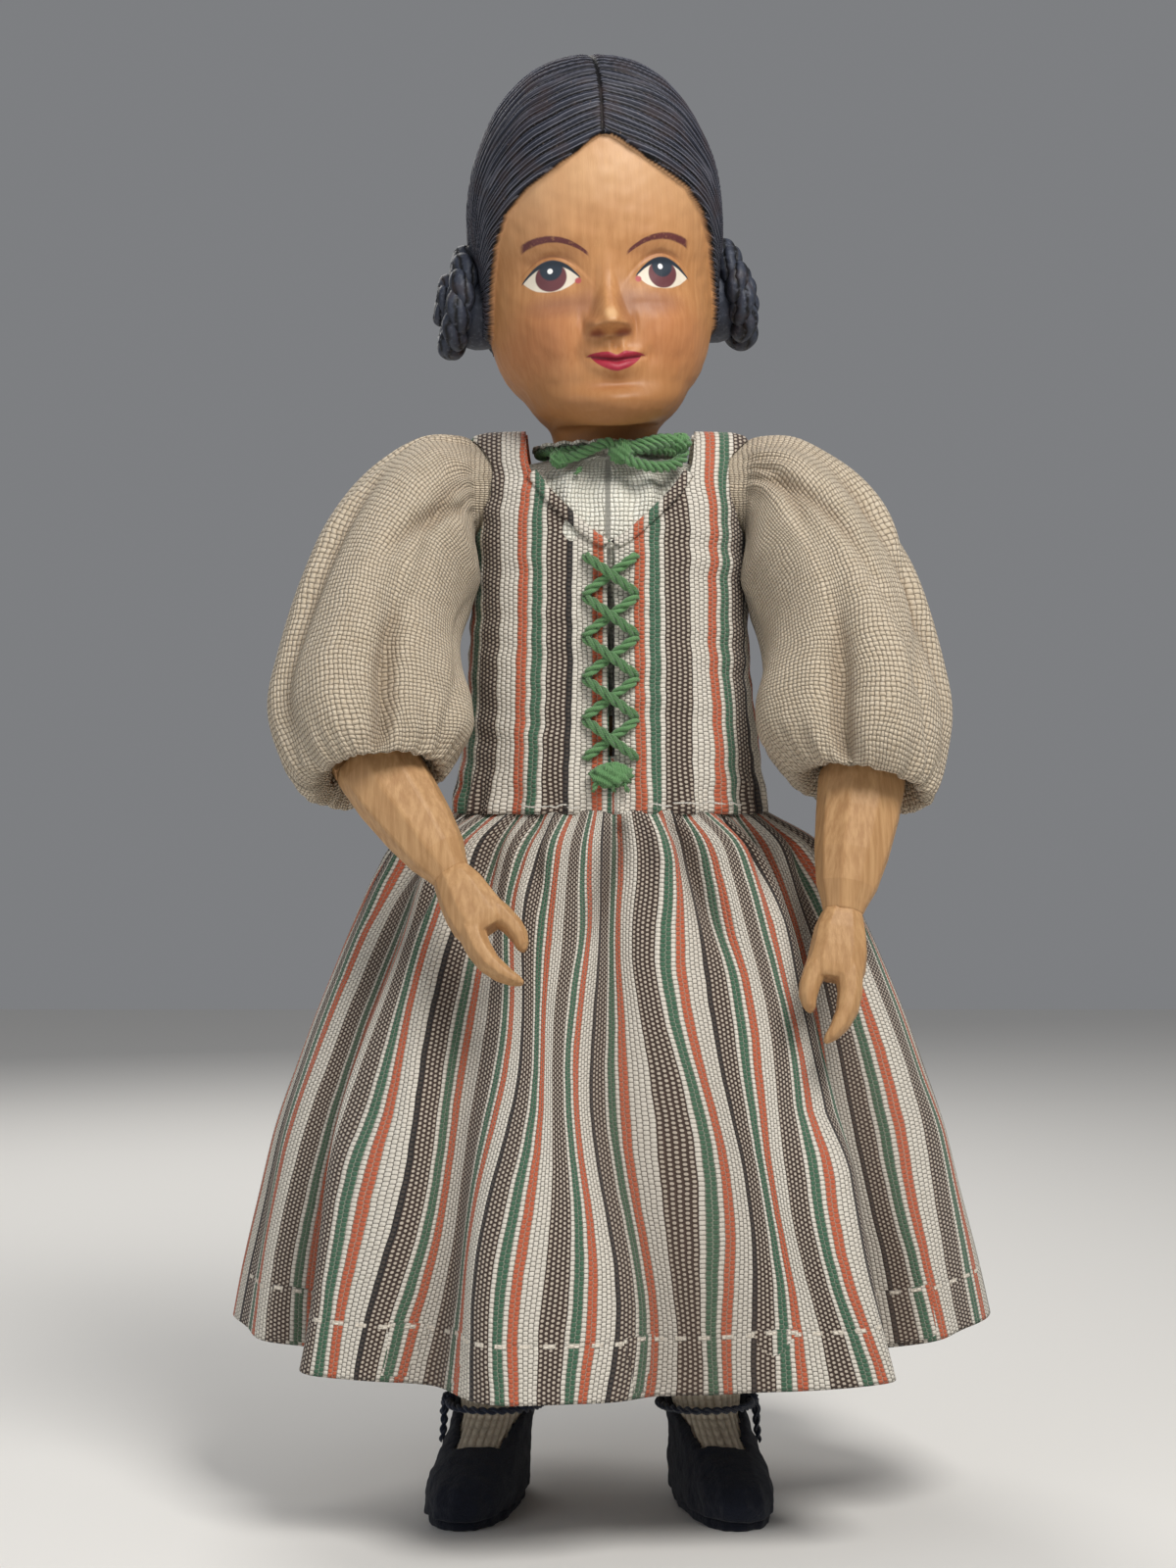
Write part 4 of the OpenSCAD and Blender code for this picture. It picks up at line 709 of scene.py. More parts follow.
# Carvings from the elbow pin: middle's x, height over the wrist, width, depth and squareness
BARREL = [
    (0, 0.2, 6.2, 5.8, 2), (0, 1.5, 7.0, 6.6, 2.1), (0, 4.4, 9.4, 8.8, 2.1), (0, 9.5, 11.4, 10.4, 2.2),
    (0.1, 16, 12.9, 11.5, 2.3), (0, FOREARM_LEN - 2.2, 13.4, 11.8, 2.3),
    (0, FOREARM_LEN - 0.7, 13.2, 11.6, 2.3), (0, FOREARM_LEN, 12.5, 10.9, 2.3),
]
PALM = [
    (0, 0.6, 6.0, 5.8, 2), (0, -0.6, 6.9, 6.6, 2), (0, -2.6, 8.0, 7.0, 2.2), (0.2, -5.5, 8.8, 6.8, 2.3),
    (0.1, 1.4 - PALM_LEN, 9.2, 6.2, 2.3), (0, 0.2 - PALM_LEN, 8.7, 5.6, 2.2),
    (0, -0.5 - PALM_LEN, 7.2, 4.6, 2),
]
FINGERS = [
    (0.9, -5.3, 5.0, 5.2, 2.2), (2.1, -8.8, 4.6, 5.6, 2.2), (2.75, -12.0, 3.9, 5.3, 2.2),
    (2.7, -14.8, 3.5, 4.9, 2.1), (1.9, -17.4, 3.0, 4.2, 2), (0.9, -19.2, 2.2, 3.1, 2),
    (0.3, -20.1, 1.0, 1.6, 2),
]
THUMB = [
    (-1.2, -5.3, 4.6, 5.0, 2.2), (-2.6, -8.8, 4.0, 5.2, 2.2), (-3.35, -11.6, 3.3, 4.6, 2.2),
    (-3.4, -13.6, 2.8, 4.0, 2.1), (-3.0, -15.1, 2.1, 3.1, 2), (-2.75, -15.9, 0.9, 1.5, 2),
]


def joined(name, pieces):
    """One mesh object out of several."""
    points, faces = [], []
    for p in pieces:
        start = len(points)
        points += [p.matrix_world @ v.co / MM for v in p.data.vertices]
        faces += [[start + i for i in f.vertices] for f in p.data.polygons]
        bpy.data.objects.remove(p)
    return mesh_piece(name, points, faces)


def swung(points, side):
    """From straight down at the side of the body to the arm's place in front of it."""
    a = -math.radians(SWING[side])
    p = np.asarray(points, float) - [0, 0, SHOULDER_Z]
    return np.stack([
        p[:, 0] * side, p[:, 1] * math.cos(a) - p[:, 2] * math.sin(a),
        p[:, 1] * math.sin(a) + p[:, 2] * math.cos(a),
    ], axis=1) + [0, 0, SHOULDER_Z]


def forearm_place(points, side):
    """From the forearm's own frame, elbow pin at the origin and hand down, to its place."""
    b = math.radians(BENT[side])
    p = np.asarray(points, float)
    turned = np.stack([
        p[:, 0] * math.cos(b) + p[:, 2] * math.sin(b), p[:, 1],
        -p[:, 0] * math.sin(b) + p[:, 2] * math.cos(b),
    ], axis=1)
    return swung(turned + [ELBOW_X, 0, SHOULDER_Z - ARM_DROP], side)


def whittled_rings(carving, corners, seed):
    """Rings of a whittled limb, each with the slight unevenness of the knife's cuts."""
    cuts = np.random.default_rng(seed)
    even = (np.arange(corners) + 0.5) / corners
    angles = 2 * np.pi * (even + cuts.normal(size=corners) * 0.011)
    reach = 1 + cuts.normal(size=corners) * 0.016
    rings = []
    for x, z, w, d, square in carving:
        p = 2 / square
        jitter = 1 + cuts.normal(size=corners) * 0.006
        rings.append(np.stack([
            x + w / 2 * power(np.sin(angles), p) * reach * jitter,
            -d / 2 * power(np.cos(angles), p) * reach * jitter, np.full(corners, WRIST_Z + z),
        ], axis=1))
    return np.array(rings)


def faceted(piece, edge):
    """Leaves the knife's flat facets, with their edges softened by a width in millimetres."""
    piece.data.polygons.foreach_set("use_smooth", [False] * len(piece.data.polygons))
    modifier(piece, "BEVEL", width=edge * MM, segments=2, limit_method="ANGLE", angle_limit=math.radians(14))


def elbow_tongue(name):
    """The flat tongue, round at its top end."""
    sections = [(TONGUE_HALF_W, 0.3 - ELBOW_SEAT), (TONGUE_HALF_W, 0)]
    for turn in range(1, 12):
        a = math.pi * turn / 12 / 2
        sections.append((TONGUE_HALF_W * math.cos(a), TONGUE_HALF_W * math.sin(a)))
    t = TONGUE_HALF_T
    return rings_piece(name, [
        [(-w, -t, z), (w, -t, z), (w, t, z), (-w, t, z)] for w, z in sections
    ], capped=True)


def make_forearm(name, side):
    barrel = rings_piece(name + "_barrel", whittled_rings(BARREL, 10, 20 + side), capped=True)
    tongue = elbow_tongue(name + "_tongue")
    hand = joined(name + "_hand", [
        rings_piece(f"{name}_part_{k}", whittled_rings(carving[::-1], 9, 31 + 7 * k + side), capped=True)
        for k, carving in enumerate((PALM, FINGERS, THUMB))
    ])
    modifier(hand, "REMESH", mode="VOXEL", voxel_size=0.22 * MM)
    modifier(hand, "SMOOTH", factor=0.5, iterations=5)
    for piece in (barrel, tongue, hand):
        for v in piece.data.vertices:
            v.co = Vector(forearm_place([list(v.co / MM)], side)[0]) * MM
        if side < 0:
            piece.data.flip_normals()
        piece.data.materials.append(WOOD)
    faceted(barrel, 0.35)
    faceted(tongue, 0.3)
    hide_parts(name)
    for piece in (barrel, tongue, hand):
        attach(piece, name)


make_forearm("forearm_right", -1)
make_forearm("forearm_left", 1)


# Socks: knitted in one-and-one rib from cream wool and pulled over the foot and the ankle, with the top
# edge turned in. Only a band above the shoe shows.

SHOE_LEN, SHOE_W, SHOE_H, TOE_SHARE, TOE_OUT = 33.0, 14.6, 16.5, 0.73, 11.0
FELT_T, SOLE_T, SOCK_T, SOCK_TOP, SOCK_LEG_R, SOCK_RIBS = 1.1, 1.6, 0.5, 27.0, 5.5, 16
# Shoe's height share, then the shares of its width, of its front and of its back
SHOE_SHARES = [
    (0, 0.92, 0.95, 0.9), (0.1, 1, 0.995, 0.98), (0.26, 1, 1, 1), (0.4, 0.96, 0.94, 0.98),
    (0.54, 0.9, 0.78, 0.95), (0.68, 0.87, 0.56, 0.9), (0.84, 0.86, 0.37, 0.84), (1, 0.9, 0.32, 0.82),
]
# The legs stand apart from the hip dowel down to the soles
HIP_X, HIP_Z, LEG_DROP = 10.6, 98, 81.5
SPLAY = {-1: 7.5, 1: 4.5}


def leg_at(side, z):
    return HIP_X + SPLAY[side] * (HIP_Z - z) / LEG_DROP


def foot_ring(a, side, z, half_w, front, back, square=2.3):
    """A ring round the foot, turned out, whose middle is on the leg; side mirrors it."""
    x = half_w * power(np.sin(a), 2 / square)
    y = -np.where(np.cos(a) > 0, front, back) * power(np.cos(a), 2 / square)
    t = math.radians(TOE_OUT)
    out = leg_at(side, np.mean(z)) + x * math.cos(t) - y * math.sin(t)
    return np.stack([out * side, x * math.sin(t) + y * math.cos(t), z + 0 * a], axis=1)


def shoe_ring(a, side, share, draw_in):
    w, front, back = (curve([share], [(s[0], s[k]) for s in SHOE_SHARES])[0] for k in (1, 2, 3))
    return foot_ring(
        a, side, max(share * SHOE_H, SOLE_T), w * SHOE_W / 2 - draw_in,
        front * SHOE_LEN * TOE_SHARE - draw_in, back * SHOE_LEN * (1 - TOE_SHARE) - draw_in,
    )


def sock_look():
    rib, height, around = axes(stored("knit"))
    row = wave(height + rib * 0.25, 0.95)
    fuzz = cloud(object_place(), 0.35, 3)
    # Darker between the ribs: painted shade
    colour = mix(fuzz * 0.5 + rib * 0.5, tone(150, 132, 108), tone(222, 212, 192))
    return {
        "colour": colour, "rough": 0.92, "height": row * 0.12 + fuzz * 0.1,
        "more": {"Sheen Weight": 0.2, "Specular IOR Level": 0.15},
    }


def make_sock(name, side):
    a = 2 * np.pi * np.arange(264) / 264
    outer_in = FELT_T + 0.1
    rings = []
    ribs = np.abs(np.sin(SOCK_RIBS * a)) ** 0.7
    for share in np.linspace(0.22, 1, 26):
        rings.append(shoe_ring(a, side, share, outer_in))
    high = SHOE_H * 1.25
    for z in np.linspace(SHOE_H + 0.6, SOCK_TOP - 0.4, 22):
        t = smooth_step(z, SHOE_H, high)
        leg = SOCK_LEG_R + 0.65 * smooth_step(z, high, SOCK_TOP)
        last = SHOE_SHARES[-1]
        w = (last[1] * SHOE_W / 2 - outer_in) * (1 - t) + leg * t
        front = (last[2] * SHOE_LEN * TOE_SHARE - outer_in) * (1 - t) + leg * t
        back = (last[3] * SHOE_LEN * (1 - TOE_SHARE) - outer_in) * (1 - t) + leg * t
        rings.append(foot_ring(a, side, z, w, front, back))
    rings = np.array(rings)
    middle = rings.mean(axis=1, keepdims=True)
    out = rings - middle
    out[..., 2] = 0
    out /= np.linalg.norm(out, axis=-1, keepdims=True)
    rings = rings + out * (0.45 * ribs - 0.2)[None, :, None]
    top = rings[-1] - out[-1] * 0.7 + [0, 0, 0.3]
    rings = np.concatenate([rings, [top, top - [0, 0, 2.0]]])
    if side < 0:
        rings = rings[:, ::-1]
        ribs = ribs[::-1]
    sock = rings_piece(name + "_knit", rings)
    height = rings[..., 2]
    place = np.stack(np.broadcast_arrays(ribs[None, :], height, a[None, :] * 6), axis=-1)
    set_places(sock, "knit", place.reshape(-1, 3))
    modifier(sock, "SOLIDIFY", thickness=SOCK_T * MM, offset=-1)
    sock.data.materials.append(SOCK_KNIT)
    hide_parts(name)
    hand = "right" if side < 0 else "left"
    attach(sock, "lower_leg_" + hand)


SOCK_KNIT = material("ribbed_knit", sock_look)
make_sock("sock_right", -1)
make_sock("sock_left", 1)


# Shoes: navy wool felt, an upper sewn to a flat sole of the same felt. Cut edges and seams have gone
# soft, and the surface is napped and slightly lumpy.

def felt_look():
    place = object_place()
    fuzz, lumps = cloud(place, 0.3, 4, rough=0.7), cloud(place, 2.4, 3)
    colour = mix(fuzz * 0.6 + lumps * 0.4, tone(8, 10, 18), tone(26, 31, 46))
    colour = mix(step(cloud(place, 0.22, 3), 0.68, 0.76) * 0.3, colour, tone(70, 78, 98))
    return {
        "colour": colour, "rough": 0.95, "height": fuzz * 0.22 + lumps * 0.3,
        "more": {"Sheen Weight": 0.12, "Sheen Roughness": 0.6, "Specular IOR Level": 0.1},
    }


def make_felt(name, node, hand):
    """The node's shape gone over finely, with the soft unevenness of thick felt."""
    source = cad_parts[node]
    mesh = bpy.data.meshes.new_from_object(source)
    mesh.transform(source.matrix_world)
    mesh.materials.clear()
    piece = bpy.data.objects.new(name, mesh)
    bpy.context.scene.collection.objects.link(piece)
    modifier(piece, "REMESH", mode="VOXEL", voxel_size=0.3 * MM, use_smooth_shade=True)
    modifier(piece, "SMOOTH", factor=0.5, iterations=8)
    bpy.context.view_layer.update()
    fine = bpy.data.meshes.new_from_object(piece.evaluated_get(bpy.context.evaluated_depsgraph_get()))
    piece.modifiers.clear()
    piece.data = fine
    co = np.array([v.co for v in fine.vertices]) / MM
    normal = np.array([v.normal for v in fine.vertices])
    co = co + normal * (0.16 * noise(co, 5, 21) + 0.07 * noise(co, 1.6, 22) - 0.03)[:, None]
    co[:, 2] = np.maximum(co[:, 2], 0)
    fine.vertices.foreach_set("co", (co * MM).astype(np.float32).ravel())
    fine.polygons.foreach_set("use_smooth", [True] * len(fine.polygons))
    fine.materials.append(FELT)
    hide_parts(node)
    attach(piece, "lower_leg_" + hand)


FELT = material("navy_felt", felt_look)
for hand in ("right", "left"):
    make_felt(f"shoe_{hand}_felt", "shoe_" + hand, hand)
    make_felt(f"sole_{hand}_felt", "shoe_sole_" + hand, hand)


# Ankle cords: navy cotton of two plies, one round each shoe's opening, knotted at the outer side with
# two short ends that hang down.

ANKLE_CORD_D, CORD_PITCH = 1.3, 3.2
ANKLE_TAILS = (
    ((0.2, 0, 0.4), (0.8, -0.6, -0.6), (1, -1.4, -2.6), (1.2, -1.6, -5)),
    ((0.2, 0.1, 0.2), (1.0, 0.7, -0.5), (1.2, 1.1, -1.9), (1.1, 1.5, -3.2)),
)


def smooth_route(points, step_mm=0.35):
    """An even, rounded route through given points."""
    points = np.array(points, float)
    keys = np.concatenate([[0], np.cumsum(np.linalg.norm(np.diff(points, axis=0), axis=1))])
    t = np.linspace(0, keys[-1], max(int(keys[-1] / step_mm), 4))
    return np.stack([curve(t, np.stack([keys, points[:, k]], axis=1)) for k in range(3)], axis=1)


def cord_piece(name, route, width, plies, pitch, looks):
    """Plies wound round a route. Every ply is a tube of its own."""
    route = smooth_route(route)
    along = np.gradient(route, axis=0)
    along /= np.linalg.norm(along, axis=1, keepdims=True)
    side = [np.cross(along[0], [0.3, 0.5, 0.8])]
    for step_along in along[1:]:
        side.append(side[-1] - step_along * (side[-1] @ step_along))
        side[-1] /= np.linalg.norm(side[-1])
    side = np.array(side)
    side /= np.linalg.norm(side, axis=1, keepdims=True)
    up = np.cross(along, side)
    length = np.concatenate([[0], np.cumsum(np.linalg.norm(np.diff(route, axis=0), axis=1))])
    points, faces, places, sides = [], [], [], 10
    off, fat = (0.25, 0.27) if plies == 2 else (0.27, 0.26)
    ends = smooth_step(length, 0, 0.6) * smooth_step(length[-1] - length, 0, 0.6)
    for ply in range(plies):
        phase = 2 * np.pi * (length / pitch + ply / plies)
        middle = route + width * off * (side * np.cos(phase)[:, None] + up * np.sin(phase)[:, None])
        around = 2 * np.pi * np.arange(sides) / sides
        reach = width * fat * (0.35 + 0.65 * ends)
        ring = (
            middle[:, None] + side[:, None] * (reach[:, None] * np.cos(around))[..., None]
            + up[:, None] * (reach[:, None] * np.sin(around))[..., None]
        )
        start = len(points)
        faces += grid_faces(len(route), sides, True, start)
        faces += [tuple(start + i for i in range(sides))[::-1]]
        faces += [tuple(start + (len(route) - 1) * sides + i for i in range(sides))]
        points += list(ring.reshape(-1, 3))
        wound = around[None, :] * width * fat
        place = np.stack(np.broadcast_arrays(wound, length[:, None], 1.0 * ply), axis=-1)
        places += list(place.reshape(-1, 3))
    piece = mesh_piece(name, points, faces)
    set_places(piece, "cord", places)
    piece.data.materials.append(looks)
    return piece


def cord_look(dark, light):
    def look():
        around, along, ply = axes(stored("cord"))
        fibre = wave(along + around * 1.3, 0.34)
        fluff = cloud(object_place(), 0.3, 3)
        # Darker in the grooves between the twisted fibres: painted shade
        colour = mix(fibre * 0.6 + fluff * 0.4, dark, light)
        return {
            "colour": colour, "rough": 0.85, "height": fibre * 0.05 + fluff * 0.04,
            "more": {"Sheen Weight": 0.3, "Sheen Roughness": 0.5, "Specular IOR Level": 0.2},
        }
    return look


def lump(name, centre, half, seed, looks):
    """A tight knot, seen as a lump of cord."""
    a = 2 * np.pi * np.arange(40) / 40
    rings = []
    for polar in np.linspace(0.02, np.pi - 0.02, 26):
        rings.append(np.stack([
            np.sin(polar) * np.cos(a), np.sin(polar) * np.sin(a), np.full(40, -np.cos(polar)),
        ], axis=1))
    rings = np.array(rings)
    grooves = 0.16 * np.sin(7 * a + 5 * np.arange(26)[:, None] / 5 + seed)
    uneven = 0.12 * noise(rings, 0.7, seed) + 0.05 * noise(rings, 0.2, seed + 1)
    rings = rings * (1 + grooves + uneven)[..., None]
    piece = rings_piece(name, rings * half + centre, capped=True)
    places = (rings * half).reshape(-1, 3)
    set_places(piece, "cord", np.concatenate([places, [[0, 0, 0]] * 2]))
    piece.data.materials.append(looks)
    return piece


def make_ankle_cord(name, side, hand):
    z_front, z_back = SHOE_H * 0.93, SHOE_H * 0.84
    r, d = ANKLE_CORD_D / 2 + 0.1, ANKLE_CORD_D
    half_w, front = SHOE_W / 2 * 0.9 + r, SHOE_LEN * TOE_SHARE * 0.36 + r
    back = SHOE_LEN * (1 - TOE_SHARE) * 0.85 + r
    ring = []
    for k in range(27):
        a = np.radians(np.array([94 + 352 * k / 26]))
        z = (z_front + z_back) / 2 + (z_front - z_back) / 2 * np.cos(a[0])
        ring.append(foot_ring(a, side, z, half_w, front, back, 2.1)[0])
    start = ring[0]
    tails = [[start + [side * x * d, y * d, z * d] for x, y, z in tail] for tail in ANKLE_TAILS]
    pieces = [
        cord_piece(f"{name}_{k}", route, d * 0.96, 2, CORD_PITCH, NAVY_CORD)
        for k, route in enumerate((ring, *tails))
    ]
    knot = lump(name + "_knot", start + [side * 0.5, 0, 0], (1.15, 1.2, 1.1), 9, NAVY_CORD)
    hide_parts(name)
    for piece in pieces + [knot]:
        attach(piece, "lower_leg_" + hand)


NAVY_CORD = material("navy_cord", cord_look(tone(14, 18, 30), tone(46, 56, 78)))
make_ankle_cord("ankle_cord_right", -1, "right")
make_ankle_cord("ankle_cord_left", 1, "left")


# Blouse: pale plain-woven linen, gathered by a cord into a small frill at the neck. It is pulled over
# the torso, and its lower edge ends inside the dress.

TORSO = {"low": 105.6, "high": 58.5, "width": 39.0, "depth": 23.0}
TOP_Z, TORSO_SQUARE, NECK_ROOM, COLLAR_R, BLOUSE_T, LINEN_THREAD = 164.1, 2.5, 9.6, 9.9, 0.45, 0.74
TORSO_W_SHARES = [
    (0, 0.96), (0.12, 0.98), (0.3, 0.94), (0.5, 0.95), (0.7, 1), (0.94, 1), (0.98, 0.9), (1, 0.56),
]
TORSO_D_SHARES = [
    (0, 0.88), (0.12, 0.96), (0.3, 1), (0.5, 0.98), (0.7, 1), (0.86, 0.92), (0.94, 0.8), (1, 0.64),
]
# Rings of the frill: height, reach and how far it waves
FRILL = (
    (0.9, 0.6, 0.35), (1.2, 0.1, 0.45), (1.7, -0.1, 0.5), (2.2, 0.1, 0.5), (2.6, 0.7, 0.5),
    (2.8, 1.5, 0.55), (2.8, 2.2, 0.6),
)


def linen_look(dark, light, gap, shade):
    """Plain weave: warp and weft over each other in turn, with the yarn's slubs."""
    u, v, fold_shade = axes(stored("cloth"))
    place = vector(u, v, 0.0)
    slub = cloud(place, 1.6, 3, (1, 0.2, 1))
    u = (u + (slub - 0.5) * 0.25 + (cloud(place, 9, 1) - 0.5) * 3) / LINEN_THREAD
    v = (v + (cloud(place, 5, 2) - 0.5) * 0.8) / LINEN_THREAD
    across = Node.math("ABSOLUTE", Node.math("FRACT", u) - 0.5) * 2
    along = Node.math("ABSOLUTE", Node.math("FRACT", v) - 0.5) * 2
    odd = Node.math("FLOORED_MODULO", Node.math("FLOOR", u) + Node.math("FLOOR", v), 2.0)
    warp = (1 - across * across) * (1 - along * along * 0.5)
    weft = (1 - along * along) * (1 - across * across * 0.5)
    thread = odd * warp + (1 - odd) * weft
    colour = mix(cloud(place, 2.2, 3), dark, light)
    colour = mix(step(cloud(place, 0.55, 2), 0.35, 0.7) * 0.35, colour, tone(226, 214, 194))
    # Dark where the threads part: painted shade
    colour = mix(step(thread, 0.6, 0.15) * 0.75, colour, gap)
    # Darker in the folds' hollows: painted shade
    colour = mix(fold_shade * shade, colour, tone(132, 108, 82))
    return {
        "colour": colour, "rough": 0.92, "height": thread * 0.3 + slub * 0.05,
        "more": {"Sheen Weight": 0.12, "Sheen Roughness": 0.6, "Specular IOR Level": 0.15},
    }


def cloth_piece(name, rings, tucks, looks, thickness, replaced):
    """A sheet through rings of points, with the cloth's own coordinates for its weave and the share of
    painted shade in its folds.
    """
    rings = np.asarray(rings, float)
    gaps = np.linalg.norm(rings - np.roll(rings, 1, axis=1), axis=-1)
    widest = gaps.sum(axis=1).argmax()
    u = np.cumsum(gaps[widest])
    steps = np.linalg.norm(np.diff(rings, axis=0), axis=-1).mean(axis=1)
    v = np.concatenate([[0], np.cumsum(steps)])
    piece = rings_piece(name, rings)
    place = np.stack([u[None, :] + 0 * v[:, None], v[:, None] + 0 * u[None, :], tucks], axis=-1)
    set_places(piece, "cloth", place.reshape(-1, 3))
    modifier(piece, "SOLIDIFY", thickness=thickness * MM, offset=-1)
    piece.data.materials.append(looks)
    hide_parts(replaced)
    return piece, u[-1], v[-1]


def around_from(a, centre):
    """Angle from a fold's centre line, between -pi and pi."""
    return np.angle(np.exp(1j * (a - centre)))


def make_blouse():
    columns = 360
    a = 2 * np.pi * np.arange(columns) / columns
    rings, tucks = [], []
    loose = np.random.default_rng(4)
    folds = [
        (loose.uniform(-1.2, 1.2), loose.uniform(0.05, 0.12), loose.uniform(-1.3, 1.3)) for k in range(18)
    ]
    for t in np.concatenate([np.linspace(0.32, 0.93, 44), np.linspace(0.94, 1, 12)]):
        out = 0.75 + 0.9 * smooth_step(t, 0.6, 0.85) * smooth_step(t, 1.0, 0.93)
        fold = sum(d * bump(around_from(a, c), w) for c, w, d in folds) * smooth_step(t, 0.5, 0.8)
        fold = fold + 0.5 * np.cos(24 * a + 2 * np.sin(3 * a)) * smooth_step(t, 0.75, 0.95)
        w = TORSO["width"] / 2 * curve([t], TORSO_W_SHARES)[0] + out + np.maximum(fold * 0.6, -0.25)
        d = TORSO["depth"] / 2 * curve([t], TORSO_D_SHARES)[0] + out + np.maximum(fold, -0.4)
        d = np.maximum(d, NECK_ROOM)
        p = 2 / TORSO_SQUARE
        z = TORSO["low"] + t * TORSO["high"] + 0.6 * smooth_step(t, 0.96, 1)
        rings.append(np.stack([w * power(np.sin(a), p), -d * power(np.cos(a), p), z + 0 * a], axis=1))
        # How much painted shade the fold's hollow gets
        tucks.append(smooth_step(-fold, 0.1, 0.8))
    for lift, out, wave_h in FRILL:
        fold = np.cos(24 * a + 2 * np.sin(3 * a))
        r = COLLAR_R + out + fold * wave_h * 0.7
        z = TOP_Z + lift + 0.25 * wave_h * np.sin(24 * a + 2 * np.sin(3 * a)) * 1.2
        rings.append(np.stack([r * np.sin(a), -r * np.cos(a), z], axis=1))
        tucks.append(smooth_step(-fold, 0.1, 0.9))
    piece, width, length = cloth_piece(
        "blouse_linen", rings, np.array(tucks), PALE_LINEN, BLOUSE_T, "blouse")
    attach(piece, "torso")


PALE_LINEN = material("pale_linen", lambda: linen_look(
    tone(226, 224, 208), tone(246, 245, 236), tone(146, 142, 126), 0.1))
make_blouse()


# Sleeves: natural linen in the same weave, gathered into the armhole and again above the forearm, with
# the cloth bagging out between. Each is sewn to the blouse and hangs on the arm, shaped bent at the elbow.

SLEEVE_T, BODY_HALF_W, BODY_HALF_D, BODY_SQUARE, CLEAR_X = 0.5, 22.3, 14.4, 2.45, 20.2
# Folds: degrees (front -90, outer side 0), slant, width, depth in mm, first and last ring
SLEEVE_FOLDS = [
    (-155, 0.0, 0.5, 3.0, 4.5, 10), (-117, 0.02, 0.15, -3.0, 4.5, 10.6), (-88, 0.03, 0.28, 1.5, 3.5, 10),
    (-44, 0.05, 0.17, -1.9, 1.5, 9.5), (-18, 0.05, 0.26, 1.2, 2, 9), (-72, 0.13, 0.12, -1.5, 0.3, 6),
    (-128, -0.1, 0.12, -1.4, 0.3, 5), (22, 0.04, 0.16, -1.6, 2, 10), (75, 0.03, 0.2, -1.8, 1, 10),
    (130, 0, 0.2, -1.8, 1, 10),
]
# Middle's x and z, turn in degrees, half width and half depth of each ring, from armhole to hem
SLEEVE_RINGS = [
    (17.2, 160.0, 0, 8.15, 8.15), (20.9, 160.0, 0, 8.2, 8.2), (22.9, 159.6, 10, 9.3, 10.2),
    (26.0, 157.4, 27, 11.6, 13.2), (29.6, 152.6, 46, 12.9, 15.0), (33.4, 146.0, 63, 12.8, 15.8),
    (36.2, 137.6, 75, 12.7, 16.1), (37.8, 129.0, 84, 13.2, 15.8), (38.5, 121.4, 92, 14.0, 15.0),
    (38.8, 115.4, 97, 13.5, 13.8), (39.0, 111.6, 101, 12.1, 12.0), (39.2, 109.9, 101, 9.9, 9.8),
]
# The hem turned up inside, round the forearm: how far it is below the elbow pin, and room round the wood
SLEEVE_HEM = ((6.8, 1.3), (4.8, 0.95), (2.8, 0.9))


def sleeve_swell(a, lv, shape):
    """How far the cloth stands out or tucks in: folds, pleats and the gathers at both ends."""
    wander = sum(
        shape.normal() * np.sin(k * a + shape.random() * 6.3 + lv * shape.normal() * 0.3) for k in (2, 3, 5)
    ) * 0.12
    out = np.zeros((len(lv), a.shape[1]))
    for at, slant, width, depth, start, end in SLEEVE_FOLDS:
        centre = math.radians(at + 14 * shape.uniform(-1, 1))
        slant = slant + shape.normal() * 0.03
        apart = around_from(a, centre + slant * (lv - 6) + 0.06 * np.sin(1.1 * lv + at))
        shown = smooth_step(lv, start, start + 2.5) * smooth_step(lv, end, end - 2.5)
        out += depth * bump(apart, width) * shown
    for k in range(8):
        centre, width = shape.random() * 2 * np.pi, shape.uniform(0.08, 0.2)
        start, end = shape.uniform(0, 6), shape.uniform(6, 12)
        apart = around_from(a, centre + shape.normal() * 0.14 * (lv - 6))
        pleat = bump(apart + width, 1.2 * width) * 0.7 - bump(apart - 0.5 * width, 0.7 * width)
        shown = smooth_step(lv, start, start + 3) * smooth_step(lv, end, end - 3)
        out += shape.uniform(0.3, 0.9) * pleat * shown
    top = 0.4 * np.cos(19 * (a + wander)) * bump(lv - 1.0, 1.3) * smooth_step(lv, 0, 0.6)
    low = 0.5 * np.cos(15 * (a + 1.6 * wander)) + 0.3 * np.cos(26 * (a - wander) + 1)
    low = low * smooth_step(lv, 7.2, 10.4) * smooth_step(lv, 13, 11)
    return out + top + low + 0.25 * np.cos(15 * (a + 1.6 * wander)) * smooth_step(lv, 10.8, 12)


